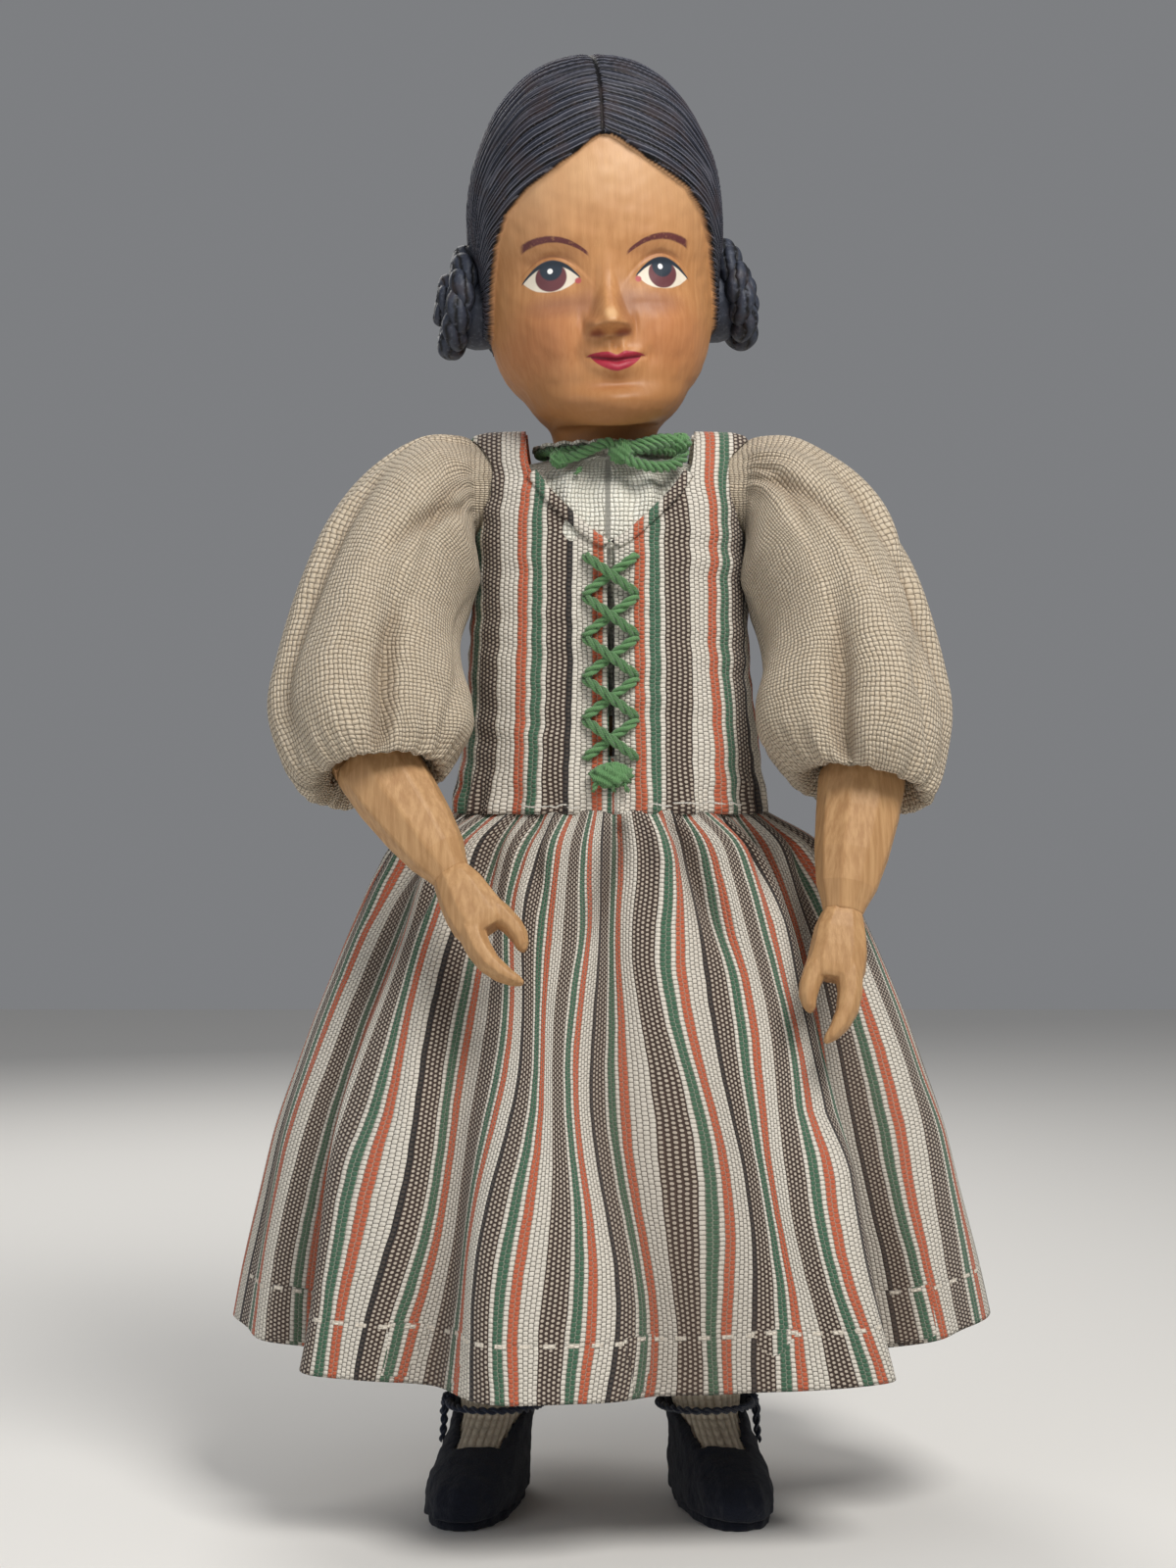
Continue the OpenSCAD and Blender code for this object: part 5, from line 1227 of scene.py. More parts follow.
def make_sleeve(name, side):
    columns, rows = 300, 170
    bend = math.radians(BENT[side])
    elbow_z = SHOULDER_Z - ARM_DROP
    keys = [(x - 0.5 * max(elbow_z - z, 0) * math.tan(bend), z, t, w, d) for x, z, t, w, d in SLEEVE_RINGS]
    for reach, room in SLEEVE_HEM:
        keys.append((
            ELBOW_X - reach * math.sin(bend), elbow_z - reach * math.cos(bend), 90 + BENT[side] * 0.9,
            FOREARM_W / 2 + room, FOREARM_T / 2 + room,
        ))
    keys = np.array(keys)
    level = np.linspace(0, len(keys) - 1, rows)
    x, z, turn, half_w, half_d = (curve(level, list(enumerate(keys[:, k])))[:, None] for k in range(5))
    a, lv = (2 * np.pi * np.arange(columns) / columns)[None, :], level[:, None] - 1
    out = sleeve_swell(a, lv, np.random.default_rng(50 + side))
    turn = np.radians(turn)
    reach = (half_w + out) * np.cos(a)
    py = (half_d + out) * np.sin(a)
    pz = z + reach * np.cos(turn)
    # It stays outside the bodice, and may lie over its front where the arm hangs before it
    swing = math.radians(SWING[side])
    at_rest = py * math.cos(swing) + (pz - SHOULDER_Z) * math.sin(swing)
    body = (1 - np.clip(np.abs(at_rest) / BODY_HALF_D, 0, 0.96) ** BODY_SQUARE) ** (1 / BODY_SQUARE)
    body = np.maximum(BODY_HALF_W * body + 0.6, CLEAR_X)
    px = x + reach * np.sin(turn)
    px = np.where(lv > 0.7, np.maximum(px, body * smooth_step(lv, 0.3, 1)), px)
    rings = np.stack([px, py, pz], axis=-1)
    placed = swung(rings.reshape(-1, 3), side).reshape(rings.shape)
    # How much painted shade each fold's hollow gets
    fold_shade = smooth_step(-out, 0.25, 1.6)
    if side < 0:
        placed, fold_shade = placed[:, ::-1], fold_shade[:, ::-1]
    piece, width, length = cloth_piece(
        name + "_linen", placed[::-1], fold_shade[::-1], LINEN, SLEEVE_T, name)
    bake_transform(piece)


LINEN = material("natural_linen", lambda: linen_look(
    tone(182, 164, 138), tone(214, 200, 178), tone(104, 88, 70), 0.35))
make_sleeve("sleeve_right", -1)
make_sleeve("sleeve_left", 1)


# Skirt: a straight length of hand-woven striped cotton with its stripes upright, gathered into the
# waist seam and hemmed by hand with white thread.

WAIST_Z, SKIRT_LEN, HEM_W, HEM_D, HEM_RISE, SKIRT_SQUARE = 109.6, 84.4, 115.0, 94.0, 7.0, 2.05
STRIPE_PITCH = 10.7
THREAD, PICK = STRIPE_PITCH / 15, 0.68
SKIRT_T, FOLD_DEPTH, GATHER_DEPTH, HEM_LINE_V, HEM_ROWS, MEASURED_ROW = 0.55, 6.6, 0.9, 8.0, 14, 8
# Where a hand lies on the cloth: degrees from the front, and how wide the flat place is
HAND_AT, HAND_WIDE = 46, 30
# Height share, then the shares of the hem's width and depth, and how much of the folds shows
SKIRT_SHARES = [
    (0, 1, 1, 1), (0.1, 0.975, 0.965, 0.95), (0.24, 0.935, 0.9, 0.85), (0.41, 0.885, 0.77, 0.75),
    (0.57, 0.815, 0.635, 0.66), (0.7, 0.745, 0.54, 0.6), (0.8, 0.685, 0.475, 0.55), (0.88, 0.63, 0.43, 0.5),
    (0.945, 0.565, 0.405, 0.4), (1, 0.43, 0.33, 0),
]
# Folds: degrees from the front to the doll's left, width in degrees before and after, depth as a share
SKIRT_FOLDS = [
    (50, 4.5, 11, -1.45), (38, 10, 5, 0.6), (22, 8, 7, -0.5), (2, 5, 10, -0.8), (-14, 8, 8, 0.35),
    (-30, 9, 6, -0.75), (-46, 9, 9, 0.35), (-62, 9, 6, -1.05), (-94, 12, 12, 0.4), (82, 12, 12, 0.4),
    (110, 11, 11, -1.1), (132, 10, 10, 0.4), (154, 11, 11, -1), (182, 11, 11, -1.1), (206, 10, 10, 0.4),
    (226, 11, 11, -1), (-116, 10, 10, -1),
]
# Creases that run down from the waist seam: degrees at the seam and at their end, end as a share, depth
SKIRT_CREASES = [
    (4, -9, 0.72, 3.0), (-22, -15, 0.8, 2.2), (19, 27, 0.74, 2.4), (41, 36, 0.7, 2.4), (-44, -50, 0.76, 1.8),
    (66, 60, 0.82, 1.5), (-68, -74, 0.82, 1.5), (100, 96, 0.8, 1.6), (130, 134, 0.8, 1.6),
    (160, 156, 0.8, 1.6), (190, 196, 0.8, 1.6), (222, 218, 0.8, 1.6), (250, 254, 0.8, 1.6),
]


def weave(u, v, wide, tall):
    """Brickwork of thread crowns, 1 at each crown and 0 between, of cells this wide and tall."""
    column = Node.math("FLOOR", u / wide)
    across = Node.math("ABSOLUTE", Node.math("FRACT", u / wide) - 0.5) * 2
    along = Node.math("FRACT", v / tall + Node.math("FLOORED_MODULO", column, 2.0) * 0.5)
    along = Node.math("ABSOLUTE", along - 0.5) * 2
    return (1 - across * across) * (1 - along * along), (column + 0.5) * wide


def stripes(u, v, order):
    """Colour and thread relief of the cloth at u across and v along its stripes, in millimetres."""
    place = vector(u, v, 0.0)
    u = (u + (cloud(place, 6, 2) - 0.5) * 0.5) * order
    v = v + (cloud(place, 5, 2) - 0.5) * 0.5
    crown, middle = weave(u, v, THREAD, PICK)
    turn = Node.math("FLOORED_MODULO", middle, STRIPE_PITCH)
    second = Node.math("FLOORED_MODULO", middle, 2 * STRIPE_PITCH)
    fleck = cloud(vector(u * 3.0, v * 0.7, 3.0), 1.0, 3)

    def band(value, first, last):
        return step(value, first * THREAD - 0.05, first * THREAD + 0.05) * step(
            value, last * THREAD + 0.05, last * THREAD - 0.05)

    high, gap = step(crown, 0.45, 0.8), step(crown, 0.3, 0.04)
    cream = mix(fleck, tone(198, 190, 176), tone(232, 226, 214))
    # Where the threads part the cream is darkened: painted shade
    cream = mix(gap * 0.85, cream, tone(98, 89, 80))
    brown = mix(fleck, tone(54, 41, 35), tone(84, 66, 57))
    brown = mix(high * 0.85, brown, tone(196, 184, 168))
    black = mix(high * 0.3, mix(fleck, tone(30, 28, 30), tone(52, 48, 48)), tone(120, 108, 96))
    orange = mix(gap * 0.8, mix(fleck, tone(170, 78, 50), tone(200, 108, 76)), tone(196, 168, 148))
    green = mix(gap * 0.8, mix(fleck, tone(44, 80, 60), tone(82, 118, 94)), tone(168, 170, 152))
    colour = mix(band(turn, 0, 5), cream, brown)
    colour = mix(band(turn, 9, 11), colour, orange)
    colour = mix(band(turn, 12, 14), colour, green)
    colour = mix(band(second, 3.9, 5.1), colour, black)
    return colour, Node.math("POWER", crown, 0.5) * 0.24 + fleck * 0.04


def skirt_look():
    u, v, fold_shade = axes(stored("cloth"))
    colour, height = stripes(u, v, -1.0)
    off_hem = Node.math("ABSOLUTE", v - HEM_LINE_V)
    stitch = step(off_hem, 0.4, 0.2) * step(wave(u, 3.4), 0.4, 0.6)
    colour = mix(stitch, colour, tone(226, 216, 200))
    line = step(off_hem, 0.7, 0.2)
    # Darker in the folds' hollows: painted shade
    colour = mix(fold_shade * 0.35, colour, tone(84, 66, 54))
    return {
        "colour": colour, "rough": 0.9, "height": height + stitch * 0.25 - line * 0.15,
        "more": {"Sheen Weight": 0.15, "Sheen Roughness": 0.6, "Specular IOR Level": 0.15},
    }


def turned(angle):
    """Degrees brought between -180 and 180."""
    return angle - 360 * np.round(angle / 360)


def make_skirt():
    rows, columns = 130, 720
    s = np.linspace(0, 1, rows)[:, None]
    angle = 360 * np.arange(columns)[None, :] / columns + 0 * s
    width, depth, shows = (curve(s.ravel(), [(r[0], r[k]) for r in SKIRT_SHARES])[:, None] for k in (1, 2, 3))
    fold = 0
    for at, before, after, d in SKIRT_FOLDS:
        apart = turned(angle - at - 2.5 * np.sin(4 * s + at))
        fold = fold + d * bump(apart, np.where(apart < 0, before, after))
    crease = 0
    for high, low, end, d in SKIRT_CREASES:
        line = low + (high - low) * (s - end) / (1 - end)
        crease = crease - d * bump(turned(angle - line), 3.4) * smooth_step(s, end - 0.06, end + 0.1)
    crease = crease * smooth_step(s, 1.0, 0.955)
    drift = 3.2 * np.sin(np.radians(5 * angle) + 2.0) + 2.4 * np.sin(np.radians(11 * angle) + 5 * s)
    fine = np.cos(np.radians(23 * (angle + drift))) * 0.6
    fine = fine + np.cos(np.radians(41 * (angle + 1.4 * drift)) + 1.0) * 0.4
    gathers = GATHER_DEPTH * fine * (bump(s - 0.94, 0.07) + 0.3 * bump(s - 0.8, 0.14))
    gathers = gathers * smooth_step(s, 1.0, 0.985)
    ripple = 0.5 * np.sin(np.radians(19 * angle) + 3 * s) * (1 - s)
    out = FOLD_DEPTH * shows * fold + gathers + crease + ripple
    # The hands press the cloth flat where they lie and swing
    pressed = bump(np.abs(turned(angle)) - HAND_AT, HAND_WIDE) * smooth_step(s, 0.35, 0.5)
    out = out - np.maximum(out, 0) * np.minimum(1.25 * pressed, 1)
    sway = 1.7 * np.sin(np.radians(3 * angle) + 4.4 * s + 0.6)
    sway = sway + 1.2 * np.sin(np.radians(7 * angle) - 6.5 * s + 2)
    sway = sway + 0.8 * np.sin(np.radians(13 * angle) + 11 * s)
    rad = np.radians(angle + sway * smooth_step(s, 0.98, 0.7))
    p = 2 / SKIRT_SQUARE
    x = (HEM_W / 2 * width + out) * power(np.sin(rad), p)
    y = -(HEM_D / 2 * depth + out) * power(np.cos(rad), p)
    lift = HEM_RISE * (np.sin(rad / 2) ** 2 + 0.4 * bump(turned(angle - 84), 34))
    z = WAIST_Z - SKIRT_LEN + s * SKIRT_LEN + lift * (1 - s) ** 1.5
    outer = np.stack([x, y, z + 0 * x], axis=-1)

    # Cloth coordinates: along the hem's line, and up from the hem
    low = outer[MEASURED_ROW]
    u = np.concatenate([[0], np.cumsum(np.linalg.norm(np.diff(low, axis=0), axis=1))])
    around = u[-1] + np.linalg.norm(low[0] - low[-1])
    u = np.where(angle[0] > 180, u - around, u)
    u_wide = u[None, :] + 0 * s
    v = SKIRT_LEN * s + 0 * u_wide

    # Turned-in hem: the cloth comes back up inside
    inner = outer[:HEM_ROWS].copy()[::-1]
    inner[..., :2] *= 0.985
    inner[..., 2] += 0.2
    rings = np.concatenate([inner, outer])
    skirt = rings_piece("skirt_cloth", rings)
    # How much painted shade each fold's hollow gets
    fold_shade = smooth_step(-out, 0.8, 4.5)
    place = np.stack([u_wide, v, fold_shade], axis=-1)
    set_places(skirt, "cloth", np.concatenate([place[:HEM_ROWS][::-1], place]).reshape(-1, 3))
    modifier(skirt, "SOLIDIFY", thickness=SKIRT_T * MM, offset=-1)
    skirt.data.materials.append(material("skirt_cotton", skirt_look))
    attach(skirt, "torso")
    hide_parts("skirt")


make_skirt()


# Bodice: two fronts and a back of the striped cotton, made up as one sleeveless tube with wide straps
# and sewn to the skirt at the waist. The fronts are drawn together over a slit by the lace.

BODICE_LEN, BODICE_W, BODICE_D, WAIST_W, WAIST_D, BODICE_SQUARE = 60.4, 44.6, 29.0, 50.0, 31.0, 2.45
NECKLINE_DROP, STRAP_FROM, CLOTH_T, SEAM_LOW = 13.5, 0.78, 0.75, 0.6
ARMHOLE_X, ARMHOLE_HALF_D, ARMHOLE_HALF_H, SLIT_LOW_Z = 18.5, 8.7, 9.1, 118
# Cloth's run: share of the skirt's stripes, start, left front's offset and pull over the straps
BODICE_STRIPE, BODICE_SHIFT, LEFT_FRONT_OFF, STRAP_PULL = 0.9, 8.95, 6.5, 1.04
# Height share, then how far the waist has drawn in to the chest, in width and in depth
BODICE_SHARES = [(0, 0, 0), (0.12, 0.35, 0.3), (0.32, 0.8, 0.75), (0.55, 1, 1), (0.74, 1, 1)]
# Height share, then the straps' shares of the width and the depth
STRAP_SHARES = [(0.85, 1, 0.92), (0.92, 1, 0.78), (0.965, 0.995, 0.6), (0.99, 0.97, 0.38), (1, 0.88, 0.16)]


def bodice_half(share):
    w = WAIST_W / 2 + (BODICE_W - WAIST_W) / 2 * curve([share], [(s[0], s[1]) for s in BODICE_SHARES])[0]
    d = WAIST_D / 2 + (BODICE_D - WAIST_D) / 2 * curve([share], [(s[0], s[2]) for s in BODICE_SHARES])[0]
    return w, d


def outward(piece):
    """Turns the faces of a closed piece outwards."""
    edit = bmesh.new()
    edit.from_mesh(piece.data)
    bmesh.ops.recalc_face_normals(edit, faces=edit.faces)
    edit.to_mesh(piece.data)
    edit.free()


def prism(name, outline, y_from, y_to):
    """A cutter: an outline in x and z run along y."""
    points = [(x, y, z) for y in (y_from, y_to) for x, z in outline]
    n = len(outline)
    faces = [tuple(range(n))[::-1], tuple(range(n, 2 * n))]
    faces += [(i, (i + 1) % n, n + (i + 1) % n, n + i) for i in range(n)]
    cutter = mesh_piece(name, points, faces, smooth=False)
    outward(cutter)
    return cutter


def smooth_outline(corners, count=10):
    """A rounded open line through corners."""
    corners = np.array(corners, float)
    keys = np.concatenate([[0], np.cumsum(np.linalg.norm(np.diff(corners, axis=0), axis=1))])
    t = np.linspace(0, keys[-1], count * (len(corners) - 1) + 1)
    return np.stack([
        curve(t, np.stack([keys, corners[:, k]], axis=1)) for k in range(corners.shape[1])
    ], axis=1)


def bodice_look():
    u, v, fold_shade = axes(stored("cloth"))
    colour, height = stripes(u, v, 1.0)
    # Darker in the folds' hollows: painted shade
    colour = mix(fold_shade * 0.4, colour, tone(84, 66, 54))
    return {
        "colour": colour, "rough": 0.9, "height": height,
        "more": {"Sheen Weight": 0.15, "Sheen Roughness": 0.6, "Specular IOR Level": 0.15},
    }


def bodice_shell():
    """The whole tube with both its faces, before the openings are cut."""
    columns = 300
    a = 2 * np.pi * np.arange(columns) / columns
    heights = np.concatenate([np.linspace(0, 0.8, 60), np.linspace(0.81, 1, 40)])
    half = [bodice_half(s) for s in np.minimum(heights, 0.74)]
    strap = np.array([(STRAP_FROM, 1, 1), *STRAP_SHARES])
    p = 2 / BODICE_SQUARE
    shells = []
    for draw_in in (0, CLOTH_T):
        rings = []
        for s, (w, d) in zip(heights, half):
            if s > STRAP_FROM:
                w = BODICE_W / 2 * curve([s], strap[:, [0, 1]])[0]
                d = BODICE_D / 2 * curve([s], strap[:, [0, 2]])[0]
            z = WAIST_Z - SEAM_LOW + s * (BODICE_LEN + SEAM_LOW) - draw_in * (s > 0.9)
            rings.append(np.stack([
                (w - draw_in) * power(np.sin(a), p), -(d - draw_in) * power(np.cos(a), p), z + 0 * a,
            ], axis=1))
        shells.append(np.array(rings))
    outer, inner = shells
    wrinkle = 0.35 * noise(outer * [1, 1, 0.5], 13, 8) + 0.22 * noise(outer * [1, 1, 2.2], 12, 9)
    low = (0.45 * np.cos(26 * a + 2 * np.sin(5 * a)))[None, :] * bump(heights - 0.02, 0.07)[:, None]
    away = np.stack([np.sin(a), -np.cos(a), 0 * a], axis=1)[None]
    swell = away * (wrinkle + low)[..., None]
    points = np.concatenate([(outer + swell).reshape(-1, 3), (inner + swell).reshape(-1, 3)])
    rows = len(heights)
    faces = grid_faces(rows, columns)
    faces += [tuple(rows * columns + i for i in f[::-1]) for f in grid_faces(rows, columns)]
    for i in range(columns):
        j, n, last = (i + 1) % columns, rows * columns, (rows - 1) * columns
        faces.append((j, i, n + i, n + j))
        faces.append((last + i, last + j, n + last + j, n + last + i))
    bodice = mesh_piece("bodice_cloth", points, faces)
    outward(bodice)
    return bodice


def bodice_openings():
    """Cutters for the neckline in front and behind, the laced slit and the armholes."""
    neck_z = TOP_Z - NECKLINE_DROP
    half_front = smooth_outline([
        (0, neck_z), (3.5, neck_z + 2.2), (9.6, neck_z + 8.2), (12.4, TOP_Z - 1.5), (13.2, TOP_Z + 3),
        (13.6, TOP_Z + 9),
    ])
    half_back = smooth_outline([(0, TOP_Z - 6.2), (7, TOP_Z - 5.4), (12.0, TOP_Z - 0.5), (13.6, TOP_Z + 9)])
    front, back = (
        [tuple(p) for p in half] + [(-x, z) for x, z in half[::-1][:-1]] for half in (half_front, half_back)
    )
    slit = [(-0.25, SLIT_LOW_Z), (0.25, SLIT_LOW_Z), (0.6, neck_z + 1), (-0.6, neck_z + 1)]
    cutters = [
        prism("cut_front", front, -30, 0), prism("cut_back", back, 0, 30), prism("cut_slit", slit, -30, 0),
    ]
    for side in (-1, 1):
        hole = prism(f"cut_arm_{side}", [
            (ARMHOLE_HALF_D * math.cos(t), ARMHOLE_HALF_H * math.sin(t))
            for t in np.linspace(0, 2 * math.pi, 48, endpoint=False)
        ], 0, 20)
        for v in hole.data.vertices:
            x, y, z = v.co / MM
            v.co = Vector(((ARMHOLE_X + y) * side, x, SHOULDER_Z + z - 0.5)) * MM
        outward(hole)
        cutters.append(hole)
    return cutters


def bodice_weave(points):
    """The cloth's coordinates at points of the bodice, and its length all round."""
    theta = np.arctan2(points[:, 0] / BODICE_W, -points[:, 1] / BODICE_D)
    fine, p = np.linspace(-np.pi, np.pi, 721), 2 / BODICE_SQUARE
    ring = np.stack([BODICE_W / 2 * power(np.sin(fine), p), BODICE_D / 2 * power(np.cos(fine), p)], axis=1)
    length = np.concatenate([[0], np.cumsum(np.linalg.norm(np.diff(ring, axis=0), axis=1))])
    ring_turn = np.unwrap(np.arctan2(ring[:, 0] / BODICE_W, ring[:, 1] / BODICE_D))
    u = np.interp(theta, ring_turn, length - length[360])
    # On the straps the stripes run straight over the shoulder
    over = smooth_step(points[:, 2], TOP_Z - 6, TOP_Z + 1)
    behind = np.sign(points[:, 0]) * (length[-1] / 2) - points[:, 0]
    straight = np.where(np.abs(theta) < np.pi / 2, points[:, 0], behind)
    u = u * (1 - over) + straight * STRAP_PULL * over
    # The fronts are cut from the cloth apart from each other, so their stripes don't meet at the slit
    left_front = (points[:, 0] > 0) & (points[:, 1] < 0)
    u = np.where(left_front, u - LEFT_FRONT_OFF, u) * BODICE_STRIPE + BODICE_SHIFT
    return np.stack([u, points[:, 2] - WAIST_Z, 0 * u], axis=1), length[-1]


def make_bodice():
    bodice, cutters = bodice_shell(), bodice_openings()
    for cutter in cutters:
        modifier(bodice, "BOOLEAN", object=cutter, operation="DIFFERENCE", solver="EXACT").name = cutter.name
    bpy.context.view_layer.update()
    cut = bpy.data.meshes.new_from_object(bodice.evaluated_get(bpy.context.evaluated_depsgraph_get()))
    bodice.modifiers.clear()
    bodice.data = cut
    for cutter in cutters:
        bpy.data.objects.remove(cutter)
    cut.polygons.foreach_set("use_smooth", [True] * len(cut.polygons))
    places, around = bodice_weave(np.array([v.co for v in cut.vertices]) / MM)
    set_places(bodice, "cloth", places)
    bodice.data.materials.append(BODICE_COTTON)
    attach(bodice, "torso")
    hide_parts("bodice")


BODICE_COTTON = material("bodice_cotton", bodice_look)
make_bodice()


# Neckline: the bodice's cut front edges, turned in and sewn down, so that they show as a soft roll of
# the striped cloth on either side of the slit.

ROLL_HALF_W, ROLL_HALF_T = 0.75, 0.42


def make_neckline(name, side):
    neck_z = TOP_Z - NECKLINE_DROP
    line = smooth_outline([
        (0.75, neck_z + 0.4), (3.5, neck_z + 2.3), (9.6, neck_z + 8.2), (12.3, TOP_Z - 1.6),
    ], 12)
    x, z = line[:, 0], line[:, 1]
    d = BODICE_D / 2 * np.where(z < TOP_Z - 6, 1.0, 1 - 0.16 * (z - TOP_Z + 6) / 6)
    y = -d * (1 - (x / (BODICE_W / 2)) ** BODICE_SQUARE) ** (1 / BODICE_SQUARE)
    around = (2 * np.pi * np.arange(12) / 12)[None, :]
    rings = np.stack([
        side * (x[:, None] + ROLL_HALF_W * np.cos(around)), y[:, None] - 0.15 + ROLL_HALF_T * np.sin(around),
        z[:, None] - 0.5 * np.cos(around) - 0.2,
    ], axis=-1)
    edge = rings_piece(name, rings, capped=True)
    outward(edge)
    places = rings.reshape(-1, 3)
    u = np.abs(places[:, 0]) * side * STRAP_PULL - (LEFT_FRONT_OFF if side > 0 else 0)
    u = u * BODICE_STRIPE + BODICE_SHIFT
    flat = np.stack([u, places[:, 2] - WAIST_Z, 0 * u], axis=1)
    set_places(edge, "cloth", np.concatenate([flat, [[0, 0, 0]] * 2]))
    edge.data.materials.append(BODICE_COTTON)
    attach(edge, "torso")


make_neckline("neckline_right", -1)
make_neckline("neckline_left", 1)


# Waist stitches: white sewing thread of the seam between bodice and skirt, which shows as a few loose
# stitches over the gathers.

STITCH_Z, STITCH_OUT, STITCH_D, STITCH_PITCH = 110.4, 0.95, 0.34, 1.2
# Each stitch's start across the front, and its length
STITCHES = [(-14, 4.5), (-9.6, 3.0), (-6.8, 2.2), (5.5, 4.0), (9.6, 4.4), (14.2, 3.8), (18.2, 2.4)]


def make_waist_stitches():
    places = np.random.default_rng(12)
    for k, (x, length) in enumerate(STITCHES):
        z = STITCH_Z + places.uniform(-0.25, 0.35)
        route = []
        for t in (0, 0.33, 0.66, 1):
            px = x + length * t
            bulge = (1 - (abs(px) / (WAIST_W / 2)) ** BODICE_SQUARE) ** (1 / BODICE_SQUARE)
            front = -WAIST_D / 2 * bulge - STITCH_OUT
            route.append((px, front - 0.25 * math.sin(math.pi * t), z + places.uniform(-0.25, 0.25)))
        stitch = cord_piece(f"waist_stitch_{k}", route, STITCH_D, 2, STITCH_PITCH, WHITE_THREAD)
        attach(stitch, "torso")


WHITE_THREAD = material("white_thread", cord_look(tone(196, 190, 178), tone(236, 232, 224)))
make_waist_stitches()


# Lace: one green cotton cord that crosses the slit five times from hole to hole, and is tied in a knot
# with three short ends over the waist.

LACE_D, LACE_W, LACE_CROSSINGS, SLIT_END, LACE_PITCH = 1.3, 7.9, 5, 0.1, 5.5
LACE_ENDS = ((-1.8, -1.0), (1.6, 1.1), (0.3, 0.2))
END_D, END_PITCH = 0.9, 2.6


def bodice_front(z):
    """The bodice's front at the middle, at height z."""
    return -bodice_half((z - WAIST_Z) / BODICE_LEN)[1]


def lace_run(name, middle_z, rise, over):
    """One run across the slit, which dips into the cloth at both ends and lies over the run it crosses."""
    shoulder = 0.2 + over * 0.6
    half = ((0.4, shoulder), (0.86, 0.55), (1, -0.35))
    lifts = [(-t, lift) for t, lift in half[::-1]] + [(0, over), *half]
    route = []
    for t, lift in lifts:
        z = middle_z + t * rise
        route.append((t * LACE_W / 2, bodice_front(z) - LACE_D * lift, z))
    return cord_piece(name, route, LACE_D * 1.2, 3, LACE_PITCH, GREEN_CORD)


def make_lace():
    low = WAIST_Z + SLIT_END * BODICE_LEN + LACE_D * 1.4
    high = TOP_Z - NECKLINE_DROP - LACE_D
    pitch = (high - low) / LACE_CROSSINGS
    pieces = []
    for k in range(LACE_CROSSINGS):
        middle_z = low + (k + 0.5) * pitch
        pieces.append(lace_run(f"lace_{k}_up", middle_z, pitch * 0.46, 0.6))
        pieces.append(lace_run(f"lace_{k}_down", middle_z, -pitch * 0.46, 1.35))
    z = WAIST_Z + SLIT_END * BODICE_LEN - 0.6
    front = bodice_front(z)
    knot = lump("lace_knot", (0.2, front - 1.2, z), (3.1, 1.35, 1.75), 3, GREEN_CORD)
    for x, lean in LACE_ENDS:
        pieces.append(cord_piece(f"lace_end_{len(pieces)}", [
            (x, front - 1.3, z - 0.4), (x + lean * 0.6, front - 1.6, z - 1.6),
            (x + lean, front - 1.3, z - 2.7),
        ], END_D, 2, END_PITCH, GREEN_CORD))
    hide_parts("bodice_lace")
    for piece in pieces + [knot]:
        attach(piece, "torso")


GREEN_CORD = material("green_cord", cord_look(tone(58, 100, 58), tone(122, 168, 112)))
make_lace()


# Neck cord: green cotton of three plies, run round the gathered collar and tied at the front with a
# loop and two knotted ends. Two bits of the same thread show where it was drawn through the linen.

TIE_D, TIE_PITCH, TIE_RING_R = 1.9, 3.6, 11.4
TIE_KNOT = (1.5, -14.0, 165.2)
TIE_LEFT = [TIE_KNOT, (-0.4, -14.0, 166.6), (-2.6, -13.6, 165.9), (-5.2, -13.1, 164.8), (-7.6, -12.3, 164.3)]
TIE_RIGHT = [TIE_KNOT, (3.2, -14.0, 166.0), (5.6, -13.5, 166.7), (8.0, -12.7, 167.3), (10.2, -11.8, 167.3)]
TIE_LOOP = [
    TIE_KNOT, (3.4, -14.6, 163.7), (6.6, -14.2, 162.9), (9.8, -12.6, 163.4), (11.4, -11.2, 165.0),
    (10.6, -11.4, 166.6), (8.0, -12.9, 166.6), (5.0, -14.0, 165.8), (2.6, -14.5, 165.4),
]
DRAWN_THREADS = ((-5.0, 162.4), (-5.6, 154.8))


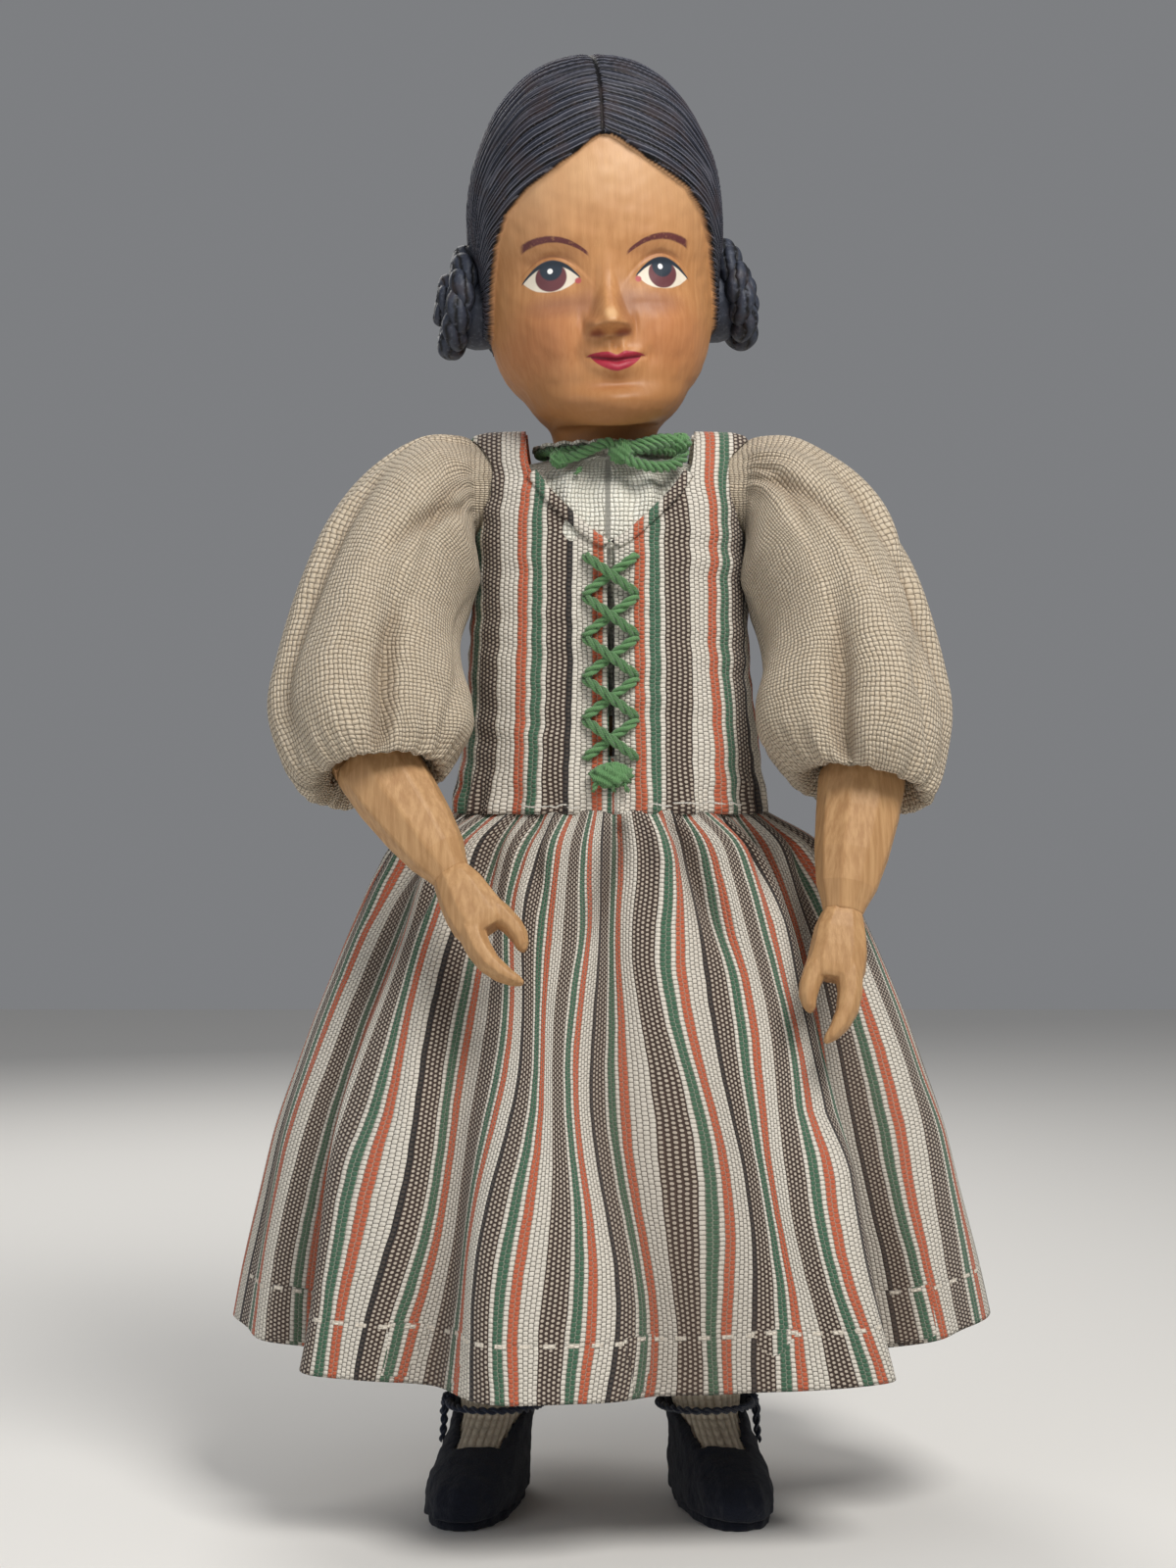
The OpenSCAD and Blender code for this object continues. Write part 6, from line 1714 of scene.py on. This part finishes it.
def make_neck_tie():
    ring = []
    for k in range(25):
        a = math.radians(14 + 332 * k / 24)
        z = TOP_Z + 1.9 + 0.5 * (1 - math.cos(a))
        ring.append((TIE_RING_R * math.sin(a), -TIE_RING_R * math.cos(a), z))
    pieces = [
        cord_piece(name, route, TIE_D * share, 3, TIE_PITCH, GREEN_CORD)
        for name, route, share in (
            ("neck_cord", ring, 0.8), ("tie_left_end", TIE_LEFT, 0.95), ("tie_loop", TIE_LOOP, 1.0),
            ("tie_right_end", TIE_RIGHT, 1.0),
        )
    ]
    for k, (x, z) in enumerate(DRAWN_THREADS):
        pieces.append(cord_piece(f"drawn_thread_{k}", [
            (x - 0.5, -12.7, z - 0.6), (x, -13.2, z), (x + 0.6, -12.8, z + 0.5),
        ], END_D, 2, END_PITCH, GREEN_CORD))
    knots = [
        lump("tie_knot", np.array(TIE_KNOT) + [0.2, -0.3, 0], (1.9, 1.5, 1.75), 5, GREEN_CORD),
        lump("tie_left_knot", (-8.0, -12.3, 164.3), (1.45, 1.2, 1.3), 6, GREEN_CORD),
        lump("tie_right_knot", (10.9, -11.6, 167.0), (1.6, 1.35, 1.3), 7, GREEN_CORD),
    ]
    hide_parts("neck_tie")
    for piece in pieces + knots:
        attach(piece, "torso")


make_neck_tie()


# Stage: the doll stands on a pale floor, under three soft lamps and a dim pale sky. The camera looks at
# it from the photograph's angle.

CAMERA_MM, LENS, SENSOR = (-3.5, -420, 113.7), 60.1, 36
FLOOR_HALF = 900
# Name, place, what it shines on, size, watts and colour
LAMPS = (
    ("key", (190, -360, 540), (0, 0, 110), 240, 3.3, (1.0, 0.98, 0.95)),
    ("fill", (-420, -360, 240), (0, 0, 110), 420, 0.6, (0.93, 0.96, 1.0)),
    ("rim", (-160, 420, 420), (0, 0, 140), 300, 1.4, (1.0, 0.98, 0.95)),
)
SKY_COLOUR, SKY_STRENGTH = (0.86, 0.88, 0.92, 1), 0.24


def make_stage():
    scene = bpy.context.scene
    camera = bpy.data.objects.new("camera", bpy.data.cameras.new("camera"))
    scene.collection.objects.link(camera)
    camera.location = [place * MM for place in CAMERA_MM]
    camera.rotation_euler = (math.radians(90), 0, 0)
    camera.data.lens, camera.data.sensor_width = LENS, SENSOR
    camera.data.clip_start = 0.01
    scene.camera = camera

    corners = [[(x, y, 0) for x in (-FLOOR_HALF, FLOOR_HALF)] for y in (FLOOR_HALF, -FLOOR_HALF)]
    floor = rings_piece("floor", corners, closed=False)
    floor.data.materials.append(material("pale_floor", lambda: {"colour": tone(226, 224, 220), "rough": 0.8}))

    for name, place, aim, size, watts, colour in LAMPS:
        lamp = bpy.data.objects.new(name, bpy.data.lights.new(name, "AREA"))
        scene.collection.objects.link(lamp)
        lamp.data.size = size * MM
        lamp.data.energy = watts
        lamp.data.color = colour
        lamp.location = Vector(place) * MM
        lamp.rotation_euler = (Vector(aim) - Vector(place)).to_track_quat("-Z", "Y").to_euler()

    world = bpy.data.worlds.new("studio")
    scene.world = world
    world.use_nodes = True
    sky = world.node_tree.nodes["Background"].inputs
    sky["Color"].default_value = SKY_COLOUR
    sky["Strength"].default_value = SKY_STRENGTH
    scene.view_settings.view_transform = "Standard"


make_stage()
